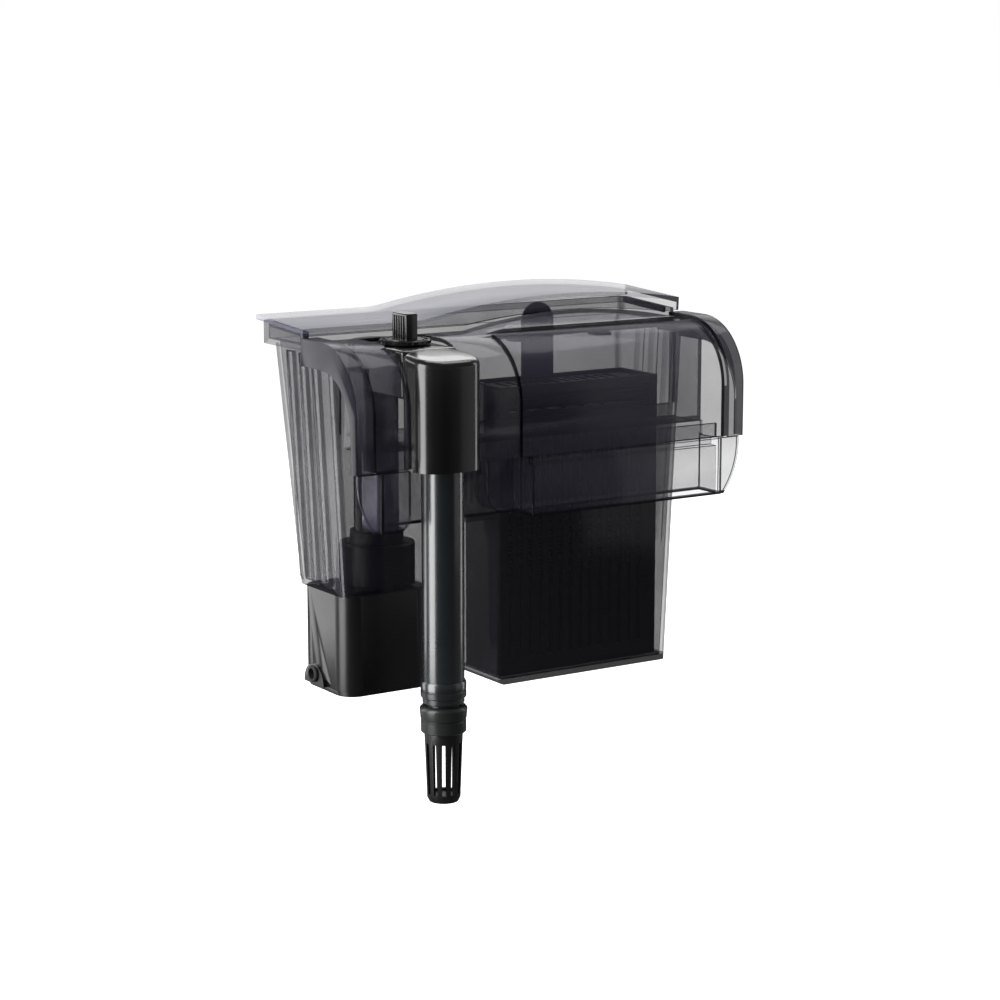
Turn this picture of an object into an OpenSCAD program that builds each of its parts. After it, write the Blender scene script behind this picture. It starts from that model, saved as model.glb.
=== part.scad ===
// Hang-on-back aquarium filter.
// Origin: centre of the pads that rest on the tank's rim. +Z up, +X along the tank wall,
// +Y away from the tank, so that the tank's glass stands in the slot on -Z.

/* [Case] */
// Width of the case at its rim
case_w = 206; // [190:1:230]
// Depth of the case at its rim, from the tank's glass backwards
case_d = 57; // [52:1:68]
// Depth of the media chamber under the rim
case_h = 126.6; // [112:0.2:150]
// How far each end wall leans in from rim to floor
end_draft = 9; // [4:0.5:12]
// How far the back wall leans in from rim to floor
back_draft = 17; // [8:0.5:20]
// Thickness of the case walls
wall = 2.2; // [1.8:0.1:2.8]
// Depth of the pump chamber under the rim
pump_h = 72; // [66:1:84]
// Depth of the channel floor between the two chambers
channel_h = 42; // [36:1:50]
// Width of the pump chamber's floor
pump_w = 54; // [53:1:58]
// Width of the channel between the pump and media chambers
channel_w = 32.1; // [26:0.1:38]
// Radius of the stiffening ribs on the end walls
rib_r = 4; // [2:0.25:4.5]
// Height of the band round the case's mouth
collar_h = 11; // [8:0.5:16]

/* [Rim slot] */
// Widest tank glass that fits the slot
rim_gap = 20; // [14:0.5:24]
// Thickness of the bridge over the glass
bridge_t = 2.6; // [2:0.1:4]
// Height of the pads under the bridge
pad_h = 0.8; // [0.6:0.1:2]

/* [Hood] */
// How far the hood's end beads stand out past the case on each side
hood_over = 8.5; // [8:0.5:14]
// Radius of the hood's front
hood_r = 32.5; // [31:0.5:34]
// Height of the hood's deck over the rim
deck_z = 52; // [50:0.5:56]
// How far the hood's front hangs below the rim
hood_drop = 6; // [4:0.5:9]
// Thickness of the hood
hood_t = 2; // [1.6:0.1:2.6]
// How far the end beads stand over the hood
bead_rise = 2; // [1:0.25:3]
// Width of the end beads
bead_w = 9; // [6:0.5:12]
// How far the curved cover reaches left of the open spout
cover_lap = 5; // [2:0.5:12]

/* [Lid] */
// Thickness of the lid
lid_t = 2.4; // [1.8:0.1:3]
// Height of the lid's flat part over the rim, at its back edge
lid_z = 58.9; // [58:0.1:61]
// How many degrees the lid slopes down to its front edge
lid_lean = 3.4; // [0:0.1:4]
// Rise of the lid's arched part
arch_rise = 8.8; // [6:0.2:11]
// Centre of the lid's arch
arch_x = 40; // [34:1:44]
// Rise of the hood's brow under the arch
brow_rise = 4.6; // [2:0.2:5]
// Depth of the lid's front skirt
skirt_h = 8.4; // [6:0.2:9]

/* [Outflow] */
// How far the spout stands in from the case on each side
spout_inset = 4.5; // [3:0.5:8]
// How far the spout hangs below the rim
spout_h = 34.7; // [28:0.1:40]
// Distance from the elbow to the open spout
spout_gap = 32.3; // [26:0.1:38]
// Depth of the spout from front to back
spout_d = 18; // [16:0.5:20]

/* [Intake] */
// Outer diameter of the intake tube
tube_d = 20; // [17:0.5:22]
// Wall of the intake and extension tubes
tube_t = 1.6; // [1.2:0.1:2]
// Distance from the slot's front to the middle of the intake tube
tube_out = 16.3; // [16:0.1:18]
// Length of the intake tube under the rim
tube_h = 119; // [110:1:140]
// Length of the strainer's cage
strainer_h = 34; // [24:1:45]
// Diameter of the collar that holds the strainer
socket_d = 22.8; // [22:0.1:26]
// Width of the elbow's front leg
elbow_w = 34; // [31:0.5:38]
// Diameter of the flow knob
knob_d = 25; // [20:0.5:27]

/* [Pump] */
// Outer diameter of the pump cover
volute_d = 37; // [35:0.5:40]
// Diameter of the impeller
impeller_d = 27; // [22:0.5:28]
// Number of impeller vanes
vanes = 6; // [3:1:8]
// Diameter of the rotor's magnet
magnet_d = 14; // [12:0.5:15]
// Length of the rotor's magnet
magnet_h = 28; // [22:0.5:30]
// Diameter of the rotor's fixed shaft
shaft_d = 3; // [2:0.25:4]
// Height of the motor housing
motor_h = 47; // [44:0.5:56]
// Width of the motor housing
motor_w = 50; // [48:0.5:52]
// Depth of the motor housing from front to back
motor_d = 44; // [42:0.5:46]
// Diameter of the cable's hole in its gland
cable_hole_d = 5.4; // [4:0.2:7]

/* [Media] */
// Gap between the media basket and the case
basket_gap = 2; // [1.4:0.1:3]
// Thickness of the basket's walls
basket_t = 1.6; // [1.2:0.1:2.4]
// Height of the basket's top over the rim
basket_top = 22; // [14:1:28]
// Outer diameter of one ceramic ring
ring_d = 11.6; // [10:0.2:12]
// Height of the foam block
foam_h = 44; // [30:1:55]
// Height of the carbon bag
carbon_h = 33; // [24:1:40]

/* [Hidden] */
$fn = 64;
eps = 0.01;          // tools cut this far past a face
lot = 400;           // longer than the filter in every direction
gap = 0.3;           // clearance between pieces that move past each other
run = 0.05;          // radial clearance of a running fit

// case
rim_back = rim_gap / 2;
collar_top = lid_z - lid_t - gap;
case_top = collar_top - collar_h + wall;
rim_front = -rim_gap / 2;
case_back = rim_back + case_d;
pump_right = -case_w / 2 + end_draft * (case_top + pump_h) / (case_top + case_h) + pump_w;
corner_r = 4;
rib_y = 24;          // first stiffening rib, then two more behind it
rib_pitch = 12;
rib_sunk = 1.2;      // how deep the ribs' axes stand in the end walls
floor_r = 5;
collar_out = 5;      // how far the band stands out from the end walls
collar_back = 3;     // how far it stands out from the back wall
collar_r = 5;
collar_front = 24;
weir_z = 7;          // edge that the water runs over
media_x = pump_right + channel_w;
baffle_x = media_x - 6;
baffle_t = 1.6;
pad_inset = 1;
// hood
hood_w = case_w + 2 * hood_over;
hood_front = rim_front - spout_d;
arc_y = hood_front + hood_r;
arc_z = deck_z - hood_r;
deck_back = collar_front - 1;
window_r = hood_r - 5.5;
band_h = 13;         // width of the side band at the deck
brow_half = 52;      // half width of the raised brow under the lid's arch
groove_y = 0;        // back edge of the outflow cover
notch_gap = 0.5;
// lid
lid_half = hood_w / 2 - 1.8;
lid_back = case_back + collar_back + 1;
arch_half = 85;      // half width of the arch at its base
arch_fillet = 60;
// spout
spout_half = case_w / 2 - spout_inset;
recess = 10;         // how far the short panel beside the tube stands back
short_w = 19;        // width of that panel
spout_t = 2;
gusset_t = 2;
gusset_r = 40;
// intake
tube_y = rim_gap / 2 + tube_out;
pump_x = pump_right - wall - volute_d / 2 - 3;
pump_y = rim_back + wall + volute_d / 2 + 0.5;
tube_x = pump_x + 2.2;
spout_x = tube_x + elbow_w / 2 + spout_gap;
cover_x = spout_x - cover_lap;
short_x = spout_x - short_w;
tube_r = tube_d / 2;
ext_r = tube_r - tube_t - 0.25;
ext_top = -20;
collar_z = -tube_h - 1;
collar_len = 13;
strainer_top = collar_z - collar_len;
socket_step = 5;     // height of the socket's lower bore
ext_bottom = strainer_top + socket_step + gap;
strainer_r = 9.2;
strainer_tip_r = 8;
slots = 12;
elbow_top = 44.5;
elbow_saddle = 3.2;  // rise of the elbow's bridge over its front leg
elbow_front = -tube_y - 14.2;
leg_d = 28;
leg_r = 9;
elbow_t = 2.2;
tunnel_h = 15;       // water way through the elbow's bridge
tunnel_top = elbow_top - elbow_t;
tunnel_z = tunnel_top - tunnel_h;
bridge_half = elbow_w / 2 - 2;
riser_r = 11;
knob_y = 7;
knob_z = elbow_top + elbow_saddle;
knob_t = 2.5;
fin_w = 8;
fin_l = 13.5;
fin_h = 12.4;
stem_r = 2.6;
gate_h = tunnel_h - 1.2;
gate_half = bridge_half - elbow_t - 0.7;
gate_t = 1.6;
stem_z = tunnel_top - (tunnel_h - gate_h) / 2;
seal_r = 1.1;
socket_z = 5;        // top of the tube's socket
// pump
chamber_floor = -pump_h + wall;
volute_r = volute_d / 2;
volute_top = chamber_floor + 25;
volute_t = 1.8;
impeller_r = impeller_d / 2;
impeller_z = chamber_floor + 4;
impeller_h = 9;
hub_r = 4;
boss_r = 15;
boss_h = wall + 0.6;
well_r = magnet_d / 2 + 1;
well_t = 1.5;
magnet_top = chamber_floor - 2;
magnet_z = magnet_top - magnet_h;
well_floor = magnet_z - 4;
shaft_r = shaft_d / 2;
shaft_top = volute_top - 7;
bearing_r = 3;
bearing_h = 3;
motor_z = -pump_h - motor_h;
motor_front = rim_back + 0.6;
motor_x = pump_right - pump_w + 0.2;
motor_r = 10;
motor_t = 2.2;
base_t = 2.4;
screw_r = 1.5;
screw_inset = 6.2;
post_h = 13;
gland_z = motor_z + 5.2;
gland_y = motor_front + 27;
gland_r = 4.2;
gland_out = 1.4;
boss_half = 9.5;     // half width of the arched boss round the gland
boss_out = 2.2;
core_t = 12;
// media
media_left = media_x + wall;
basket_x = media_left + basket_gap;
basket_side = 3.3;   // gap to the leaning end wall at the floor
basket_w = case_w / 2 - end_draft - wall - basket_x - basket_side;
basket_y = rim_back + wall + basket_gap - 1;
basket_d = case_d - back_draft - 2 * wall - basket_gap - 1.5;
basket_z = -case_h + wall + 1.2;
slot_pitch = 6;
slot_w = 2.4;
foam_z = basket_z + basket_t + 0.4;
carbon_z = foam_z + foam_h + 0.6;
rings_z = carbon_z + carbon_h + 1.2;
ring_h = ring_d;
ring_pitch = ring_d + 0.5;
ring_layers = floor((basket_top - 6 - rings_z) / ring_pitch);
tab_w = 19;
tab_x = 36;
tab_t = basket_t;
tab_top = lid_z;

// ---- shared shapes ----

// Stands an outline drawn in (Y, Z) up and runs it from x0 to x1
module along_x(x0, x1) {
    translate([x0, 0, 0])
        rotate([90, 0, 90])
            linear_extrude(height = x1 - x0)
                children();
}

// Stands an outline drawn in (X, Z) up and runs it from y0 to y1
module along_y(y0, y1) {
    translate([0, y1, 0])
        rotate([90, 0, 0])
            linear_extrude(height = y1 - y0)
                children();
}

// Rectangle between two corners, in any outline
module span(x0, y0, x1, y1) {
    translate([x0, y0])
        square([x1 - x0, y1 - y0]);
}

// Rectangle with true round corners
module rounded(x0, y0, x1, y1, r) {
    span(x0 + r, y0, x1 - r, y1);
    span(x0, y0 + r, x1, y1 - r);
    for (x = [x0 + r, x1 - r]) {
        for (y = [y0 + r, y1 - r]) {
            translate([x, y])
                circle(r = r);
        }
    }
}

// Box between two corners
module block(a, b) {
    translate(a)
        cube(b - a);
}

module tube(r_out, r_in, h) {
    difference() {
        cylinder(r = r_out, h = h);
        translate([0, 0, -eps])
            cylinder(r = r_in, h = h + 2 * eps);
    }
}

module ring(r, section_r) {
    rotate_extrude()
        translate([r, 0])
            circle(r = section_r, $fn = 24);
}

// Half width and back face of the case at height z, on the outside
function half_at(z) = case_w / 2 - end_draft * (case_top - z) / (case_top + case_h);
function back_at(z) = case_back - back_draft * (case_top - z) / (case_top + case_h);

// ---- case ----

module case_slab(z, inset) {
    half = half_at(z) - inset;
    translate([0, 0, z])
        linear_extrude(height = eps)
            rounded(-half, rim_back + inset, half, back_at(z) - inset, corner_r - inset);
}

// The leaning walls, without the steps of the floor
module case_draft(inset, top) {
    hull($fn = 32) {
        case_slab(top, inset);
        case_slab(-case_h, inset);
    }
}

// Stepped floor line, drawn in (X, Z)
module case_steps(inset, top) {
    offset(r = floor_r - inset)
        offset(delta = inset - floor_r)
            union() {
                span(-lot, -pump_h + inset, pump_right - inset, lot);
                span(-lot, -channel_h + inset, lot, lot);
                span(media_x + inset, -case_h + inset, lot, lot);
            }
}

module case_ribs() {
    lean = atan2(end_draft, case_top + case_h);
    length = case_top + pump_h - 10;
    for (side = [-1, 1]) {
        for (i = [0:2]) {
            translate([side * (half_at(-pump_h) - rib_sunk), rib_y + i * rib_pitch, -pump_h + 6]) {
                rotate([0, side * lean, 0])
                    cylinder(r = rib_r, h = length);
                sphere(r = rib_r);
            }
        }
    }
}

module collar_outline(inset) {
    half = case_w / 2 + collar_out - inset;
    rounded(-half, rim_front, half, case_back + collar_back - inset, collar_r - inset);
}

// Slopes what belongs to the lid down to the front, about the lid's back edge
module lean() {
    translate([0, lid_back, lid_z])
        rotate([lid_lean, 0, 0])
            translate([0, -lid_back, -lid_z])
                children();
}

// Band round the mouth: a ledge out from the wall, then up to the lid
module case_collar() {
    difference() {
        translate([0, 0, case_top - wall])
            linear_extrude(height = collar_top - case_top + wall)
                collar_outline(0);
        translate([0, 0, case_top])
            linear_extrude(height = lot)
                collar_outline(wall);
        block([-lot, -lot, -lot], [lot, collar_front + hood_t + gap, lot]);
        case_draft(wall / 2, case_top + eps);
        lean()
            block([-lot, -lot, collar_top], [lot, lot, lot]);
    }
}

// Floor and cheeks that carry the water over the glass
module bridge() {
    half = spout_half - 1.4;
    along_x(-half, half)
        polygon([
            [rim_front - spout_t, pad_h],
            [rim_back + wall, pad_h],
            [rim_back + wall, weir_z],
            [rim_front - spout_t, pad_h + bridge_t]
        ]);
    for (x = [-half, half - wall]) {
        along_x(x, x + wall)
            intersection() {
                hood_outline(bead_rise + hood_t + notch_gap);
                span(rim_front - spout_t, pad_h, rim_back + wall, lot);
            }
    }
}

// Pads that rest on the rim of the tank
module rim_pads() {
    half = spout_half - 3;
    block([-half, rim_front + pad_inset, 0], [half, rim_back - pad_inset, pad_h]);
}

// Ribs on the front wall that the baffle slides down between
module baffle_guides() {
    for (x = [baffle_x - 1.8 - gap, baffle_x + baffle_t + gap]) {
        block(
            [x, rim_back + wall - eps, -channel_h + wall - eps],
            [x + 1.8, rim_back + wall + 3, pad_h]
        );
    }
}

module filter_case() {
    color([0.42, 0.42, 0.50, 0.45]) {
        difference() {
            union() {
                intersection() {
                    case_draft(0, case_top);
                    along_y(-lot, lot)
                        case_steps(0);
                }
                case_ribs();
                case_collar();
            }
            intersection() {
                case_draft(wall, case_top + 1);
                along_y(-lot, lot)
                    case_steps(wall);
            }
            // mouth over the bridge
            block([-spout_half + 1, -lot, weir_z], [spout_half - 1, rim_back + wall + eps, lot]);
            // seat of the motor's boss
            translate([pump_x, pump_y, -pump_h - 1])
                cylinder(r = boss_r + gap, h = wall + 2);
        }
        bridge();
        rim_pads();
        baffle_guides();
    }
}

// ---- hood ----

// Side view of the hood in (Y, Z), drawn inside its outer face by inset
module hood_outline(inset) {
    intersection() {
        span(hood_front + inset, -hood_drop, deck_back, deck_z - inset);
        union() {
            translate([arc_y, arc_z])
                circle(r = hood_r - inset);
            span(-lot, -lot, lot, arc_z);
            span(arc_y, -lot, lot, lot);
        }
    }
}

// Opening under the side band
module hood_window() {
    intersection() {
        span(hood_front + 5, -lot, lot, deck_z - band_h);
        union() {
            translate([hood_front + 5 + window_r, deck_z - band_h - window_r])
                circle(r = window_r);
            span(-lot, -lot, lot, deck_z - band_h - window_r);
            span(hood_front + 5 + window_r, -lot, lot, lot);
        }
    }
}

function arc_radius(half, rise) = (half * half + rise * rise) / (2 * rise);

// Flat arch over a base line in (X, Z), drawn inside by inset
module arch_outline(base, half, rise, inset) {
    r = arc_radius(half, rise);
    intersection() {
        translate([arch_x, base + rise - r])
            circle(r = r - inset, $fn = 256);
        span(-lid_half + inset, base - 30, lid_half - inset, lot);
    }
}

// Raised brow that carries the deck up to the lid's arch
module hood_brow(inset) {
    intersection() {
        along_y(groove_y - 2, deck_back + eps)
            arch_outline(deck_z, brow_half, brow_rise, inset);
        along_x(-lot, hood_w / 2 - hood_t)
            polygon([
                [groove_y + 4, deck_z - hood_t - eps],
                [groove_y + 4, deck_z - inset],
                [deck_back, deck_z + brow_rise - inset],
                [deck_back, deck_z - hood_t - eps]
            ]);
    }
}

module elbow_notch(grow) {
    block(
        [tube_x - elbow_w / 2 - grow, -lot, -lot],
        [tube_x + elbow_w / 2 + grow, knob_y + knob_d / 2 + 1.5, lot]
    );
}

module cover_cut(grow) {
    block(
        [cover_x - grow, -lot, -lot],
        [hood_w / 2 - bead_w - 2 + grow, groove_y + grow, lot]
    );
}

module hood() {
    half = hood_w / 2;
    inner = bead_rise + hood_t;
    color([0.40, 0.40, 0.48, 0.5])
        difference() {
            union() {
                difference() {
                    union() {
                        along_x(-half + eps, half - eps)
                            hood_outline(bead_rise);
                        for (x = [-half, half - bead_w]) {
                            along_x(x, x + bead_w)
                                hood_outline(0);
                        }
                        hood_brow(0);
                    }
                    along_x(-half + hood_t, half - hood_t)
                        hood_outline(inner);
                    difference() {
                        translate([0, 0, -hood_t])
                            hood_brow(0);
                        block([-lot, -lot, -lot], [lot, groove_y + 4 + hood_t, lot]);
                    }
                    along_x(-lot, lot)
                        hood_window();
                    cover_cut(gap);
                }
            }
            elbow_notch(notch_gap);
            block([-lot, deck_back - eps, -lot], [lot, lot, lot]);
        }
}

module outflow_cover() {
    right = hood_w / 2 - bead_w - 2;
    inner = bead_rise + hood_t - 0.4;
    clip_z = deck_z - bead_rise - hood_t - 0.4;
    color([0.36, 0.36, 0.42, 0.5]) {
        along_x(cover_x, right)
            difference() {
                hood_outline(bead_rise - 0.8);
                hood_outline(inner);
                span(groove_y, -lot, lot, lot);
            }
        // clips that reach under the deck
        for (x = [cover_x + 12, (cover_x + right) / 2, right - 18]) {
            along_x(x, x + 8)
                polygon([
                    [groove_y - 3, clip_z - 1.6],
                    [groove_y + 6, clip_z - 1.6],
                    [groove_y + 6, clip_z],
                    [groove_y - 1, clip_z],
                    [groove_y - 1, deck_z - inner],
                    [groove_y - 3, deck_z - inner + 0.3]
                ]);
        }
    }
}

// ---- lid ----

// Top line of the lid in (X, Z): flat on the left, arched on the right
module lid_outline(inset) {
    offset(r = -arch_fillet, $fn = 180)
        offset(r = arch_fillet, $fn = 180)
            union() {
                span(-lid_half + inset, lid_z - 30, lid_half - inset, lid_z - inset);
                arch_outline(lid_z, arch_half, arch_rise, inset);
            }
}

module lid() {
    color([0.62, 0.62, 0.68, 0.6])
        difference() {
            lean() {
                // plate
                along_y(collar_front, lid_back)
                    difference() {
                        lid_outline(0);
                        translate([0, -lid_t])
                            lid_outline(0);
                        span(-lot, -lot, lot, lid_z - lid_t);
                    }
                // front skirt
                along_y(collar_front, collar_front + hood_t)
                    difference() {
                        lid_outline(0);
                        translate([0, -skirt_h])
                            lid_outline(0);
                        span(-lot, -lot, lot, lid_z - skirt_h);
                    }
                // lip that drops inside the band
                difference() {
                    translate([0, 0, lid_z - lid_t - 3])
                        linear_extrude(height = 3 + eps)
                            difference() {
                                lip_outline(0);
                                lip_outline(1.6);
                            }
                    block([-lot, -lot, -lot], [lot, collar_front + hood_t + 3, lot]);
                }
                // back wall under the arch
                along_y(lid_back - hood_t, lid_back)
                    difference() {
                        lid_outline(0);
                        span(-lot, -lot, lot, lid_z - lid_t);
                    }
            }
            block([-lot, -lot, -lot], [lot, collar_front + hood_t + 1, deck_z + gap]);
        }
}

module lip_outline(inset) {
    half = case_w / 2 + collar_out - wall - 2 * gap - inset;
    back = case_back + collar_back - wall - 2 * gap - inset;
    rounded(-half, rim_front, half, back, collar_r - wall - inset);
}

// ---- outflow ----

module outflow_spout() {
    front = hood_front + bead_rise + hood_t + gap;
    color([0.50, 0.50, 0.58, 0.45]) {
        // back wall along the glass
        block([-spout_half, rim_front - spout_t, -spout_h], [spout_half, rim_front, pad_h]);
        // open channel
        block([spout_x, hood_front, -spout_h], [spout_half, hood_front + spout_t, -hood_drop - gap]);
        block([spout_x, front, -hood_drop - 4], [spout_half, front + 1.6, pad_h]);
        block([spout_x, hood_front + eps, -hood_drop - 4], [spout_half, front + 1, -hood_drop - gap]);
        for (x = [spout_x, spout_half - spout_t]) {
            block([x, hood_front + eps, -spout_h], [x + spout_t, rim_front - eps, -hood_drop - gap]);
        }
        // short panel to the right of the tube
        along_y(hood_front + recess, hood_front + recess + spout_t)
            difference() {
                span(short_x, -spout_h + 2, spout_x + eps, -hood_drop - gap);
                difference() {
                    span(short_x - 1, -spout_h + 1, short_x + 9, -spout_h + 11);
                    translate([short_x + 9, -spout_h + 11])
                        circle(r = 9);
                }
            }
        block(
            [short_x, hood_front + recess + eps, -hood_drop - 8],
            [short_x + spout_t, rim_front - eps, -hood_drop - gap]
        );
        // panel to the left of the tube
        left_x = tube_x - elbow_w / 2 - 1;
        along_y(hood_front, hood_front + spout_t)
            difference() {
                span(-spout_half, -spout_h, left_x, -hood_drop - gap);
                difference() {
                    span(left_x - 7, -spout_h - 1, left_x + 1, -spout_h + 7);
                    translate([left_x - 7, -spout_h + 7])
                        circle(r = 7);
                }
            }
        block(
            [-spout_half, hood_front + eps, -spout_h],
            [-spout_half + spout_t, rim_front - eps, -hood_drop - gap]
        );
        // curved gussets that carry the spout's ends out to the hood's width
        for (side = [-1, 1]) {
            reach = hood_w / 2 - 1.5 - spout_half;
            along_y(hood_front + 1, hood_front + 1 + gusset_t)
                intersection() {
                    span(
                        side > 0 ? spout_half - eps : -lot, -spout_h,
                        side > 0 ? lot : -spout_half + eps, -hood_drop - gap
                    );
                    translate([side * (spout_half + reach - gusset_r), -hood_drop - gap - 3])
                        circle(r = gusset_r, $fn = 128);
                }
        }
    }
}

// Slotted plate between the pump side and the media side
module flow_baffle() {
    x = baffle_x;
    t = baffle_t;
    color([0.10, 0.10, 0.11])
        difference() {
            block(
                [x, rim_back + wall + gap, -channel_h + wall],
                [x + t, back_at(-channel_h) - wall - 1, weir_z + 18]
            );
            for (y = [0:5]) {
                block(
                    [x - 1, rim_back + wall + 4 + 5.5 * y, -channel_h + wall + 4],
                    [x + t + 1, rim_back + wall + 7 + 5.5 * y, -channel_h + wall + 24]
                );
            }
        }
}

// ---- intake ----

module elbow_leg(inset, z0, z1) {
    half = elbow_w / 2 - inset;
    translate([0, 0, z0])
        linear_extrude(height = z1 - z0)
            rounded(
                tube_x - half, elbow_front + inset,
                tube_x + half, elbow_front + leg_d - inset, leg_r - inset
            );
}

module intake_elbow() {
    leg_back = elbow_front + leg_d;
    foot = -hood_drop - 1;
    color([0.05, 0.05, 0.055])
        difference() {
            union() {
                difference() {
                    elbow_leg(0, foot, elbow_top);
                    // hollow skirt round the tube's socket
                    elbow_leg(elbow_t, foot - 1, socket_z);
                }
                translate([tube_x, -tube_y, foot])
                    cylinder(r = tube_r + elbow_t, h = socket_z + elbow_t - foot);
                // bridge over the glass
                block(
                    [tube_x - bridge_half, leg_back - leg_r, tunnel_z - elbow_t],
                    [tube_x + bridge_half, pump_y, knob_z]
                );
                translate([tube_x, pump_y, tunnel_z - elbow_t])
                    cylinder(r = bridge_half, h = knob_z - tunnel_z + elbow_t);
                // rear leg down to the pump
                translate([pump_x, pump_y, volute_top - 4])
                    cylinder(r = riser_r, h = tunnel_z - volute_top + 3);
            }
            // socket for the tube, with its seal's groove
            translate([tube_x, -tube_y, foot - 1])
                cylinder(r = tube_r + run, h = socket_z - foot);
            translate([tube_x, -tube_y, foot + 4])
                ring(tube_r + 0.2, seal_r + 0.05);
            // water way
            translate([tube_x, -tube_y, foot])
                cylinder(r = tube_r - tube_t, h = tunnel_z - foot);
            elbow_leg(elbow_t, socket_z + elbow_t, tunnel_top);
            block(
                [tube_x - bridge_half + elbow_t, -tube_y, tunnel_z],
                [tube_x + bridge_half - elbow_t, pump_y, tunnel_top]
            );
            translate([tube_x, pump_y, tunnel_z])
                cylinder(r = bridge_half - elbow_t, h = tunnel_h);
            translate([pump_x, pump_y, volute_top - 5])
                cylinder(r = riser_r - 2, h = tunnel_z - volute_top + 6);
            // knob's stem and its sunk seal
            translate([tube_x, knob_y, tunnel_z + tunnel_h / 2])
                cylinder(r = stem_r + run, h = lot);
            translate([tube_x, knob_y, knob_z - 2])
                cylinder(r = stem_r + 2.2, h = lot);
        }
}

module elbow_seal() {
    color([0.03, 0.03, 0.03])
        translate([tube_x, -tube_y, -hood_drop + 3])
            difference() {
                ring(tube_r + 0.2, seal_r);
                translate([0, 0, -2])
                    cylinder(r = tube_r, h = 4);
            }
}

module flow_knob() {
    color([0.07, 0.07, 0.075])
        translate([tube_x, knob_y, knob_z + gap]) {
            difference() {
                cylinder(r = knob_d / 2, h = knob_t);
                translate([0, 0, knob_t - 0.8])
                    tube(knob_d / 2 - 1.4, knob_d / 2 - 3.4, 2);
            }
            // grip
            block([-fin_w / 2, -fin_l / 2, knob_t - eps], [fin_w / 2, fin_l / 2, knob_t + fin_h]);
            // stem down to the gate
            translate([0, 0, stem_z - knob_z - gap])
                cylinder(r = stem_r, h = knob_z + gap - stem_z + eps);
        }
}

module knob_seal() {
    color([0.03, 0.03, 0.03])
        translate([tube_x, knob_y, knob_z - 1])
            ring(stem_r + 1.15, 0.85);
}

// Vane that turns across the water way
module flow_gate() {
    color([0.16, 0.16, 0.17])
        translate([tube_x, knob_y, stem_z - gate_h]) {
            block([-gate_t / 2, -gate_half, 0], [gate_t / 2, gate_half, gate_h]);
            cylinder(r = stem_r - 0.8, h = gate_h);
        }
}

module intake_tube() {
    color([0.10, 0.12, 0.13, 0.8])
        translate([tube_x, -tube_y, -tube_h])
            tube(tube_r, tube_r - tube_t, tube_h + socket_z - 1 - gap);
}

// Band clipped round the tube's mouth
module tube_band() {
    color([0.10, 0.11, 0.12])
        translate([tube_x, -tube_y, -tube_h + 3])
            tube(tube_r + 0.9, tube_r, 8);
}

module extension_tube() {
    color([0.12, 0.13, 0.14, 0.8])
        translate([tube_x, -tube_y, ext_bottom])
            tube(ext_r, ext_r - tube_t, ext_top - ext_bottom);
}

module strainer_socket() {
    r = socket_d / 2;
    color([0.20, 0.21, 0.21])
        translate([tube_x, -tube_y, strainer_top])
            difference() {
                union() {
                    cylinder(r = r - 0.6, h = collar_len);
                    translate([0, 0, collar_len / 2])
                        cylinder(r1 = r - 0.6, r2 = r, h = collar_len / 2 - 1.5);
                    translate([0, 0, collar_len - 1.5])
                        cylinder(r1 = r, r2 = r - 1.5, h = 1.5);
                }
                translate([0, 0, socket_step])
                    cylinder(r = ext_r + run, h = collar_len);
                translate([0, 0, -1])
                    cylinder(r = strainer_r - 0.8, h = socket_step + 1 + eps);
            }
}

// Tapered cage with upright slots
module strainer() {
    color([0.05, 0.05, 0.055])
        translate([tube_x, -tube_y, strainer_top - strainer_h])
            difference() {
                union() {
                    cylinder(r1 = strainer_tip_r - 1, r2 = strainer_tip_r, h = 2);
                    translate([0, 0, 2])
                        cylinder(r1 = strainer_tip_r, r2 = strainer_r, h = strainer_h - 2);
                    translate([0, 0, strainer_h - eps])
                        cylinder(r = strainer_r - 0.9, h = socket_step - gap);
                }
                translate([0, 0, 3])
                    cylinder(r1 = strainer_tip_r - 1.6, r2 = strainer_r - 2.6, h = strainer_h + 6);
                for (i = [0:slots - 1]) {
                    rotate([0, 0, i * 360 / slots])
                        translate([4, -1, 4])
                            cube([lot, 2, strainer_h - 9]);
                }
            }
}

// ---- pump ----

module volute_cover() {
    color([0.06, 0.06, 0.065])
        translate([pump_x, pump_y, 0])
            difference() {
                union() {
                    translate([0, 0, chamber_floor])
                        cylinder(r = volute_r, h = volute_top - chamber_floor - 6);
                    translate([0, 0, volute_top - 6 - eps])
                        cylinder(r = riser_r + 2, h = 6 + eps);
                }
                translate([0, 0, chamber_floor - 1])
                    cylinder(r = volute_r - volute_t, h = volute_top - chamber_floor - 6 - volute_t + 1);
                // inlet, stepped to seat the elbow's rear leg
                translate([0, 0, volute_top - 4])
                    cylinder(r = riser_r + run, h = 5);
                translate([0, 0, volute_top - 8 - eps])
                    cylinder(r = riser_r - 2, h = 8);
                // outlet towards the media chamber
                block([0, -7, chamber_floor + 3], [lot, 7, chamber_floor + 13]);
            }
    // spider that holds the top of the shaft
    color([0.06, 0.06, 0.065])
        translate([pump_x, pump_y, shaft_top - 1])
            difference() {
                union() {
                    cylinder(r = bearing_r + 1.4, h = bearing_h + 1);
                    for (a = [0, 120, 240]) {
                        rotate([0, 0, a])
                            translate([0, -0.9, 0])
                                cube([riser_r - 1, 1.8, 1.6]);
                    }
                }
                translate([0, 0, -1])
                    cylinder(r = bearing_r, h = bearing_h + 1);
            }
}

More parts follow.
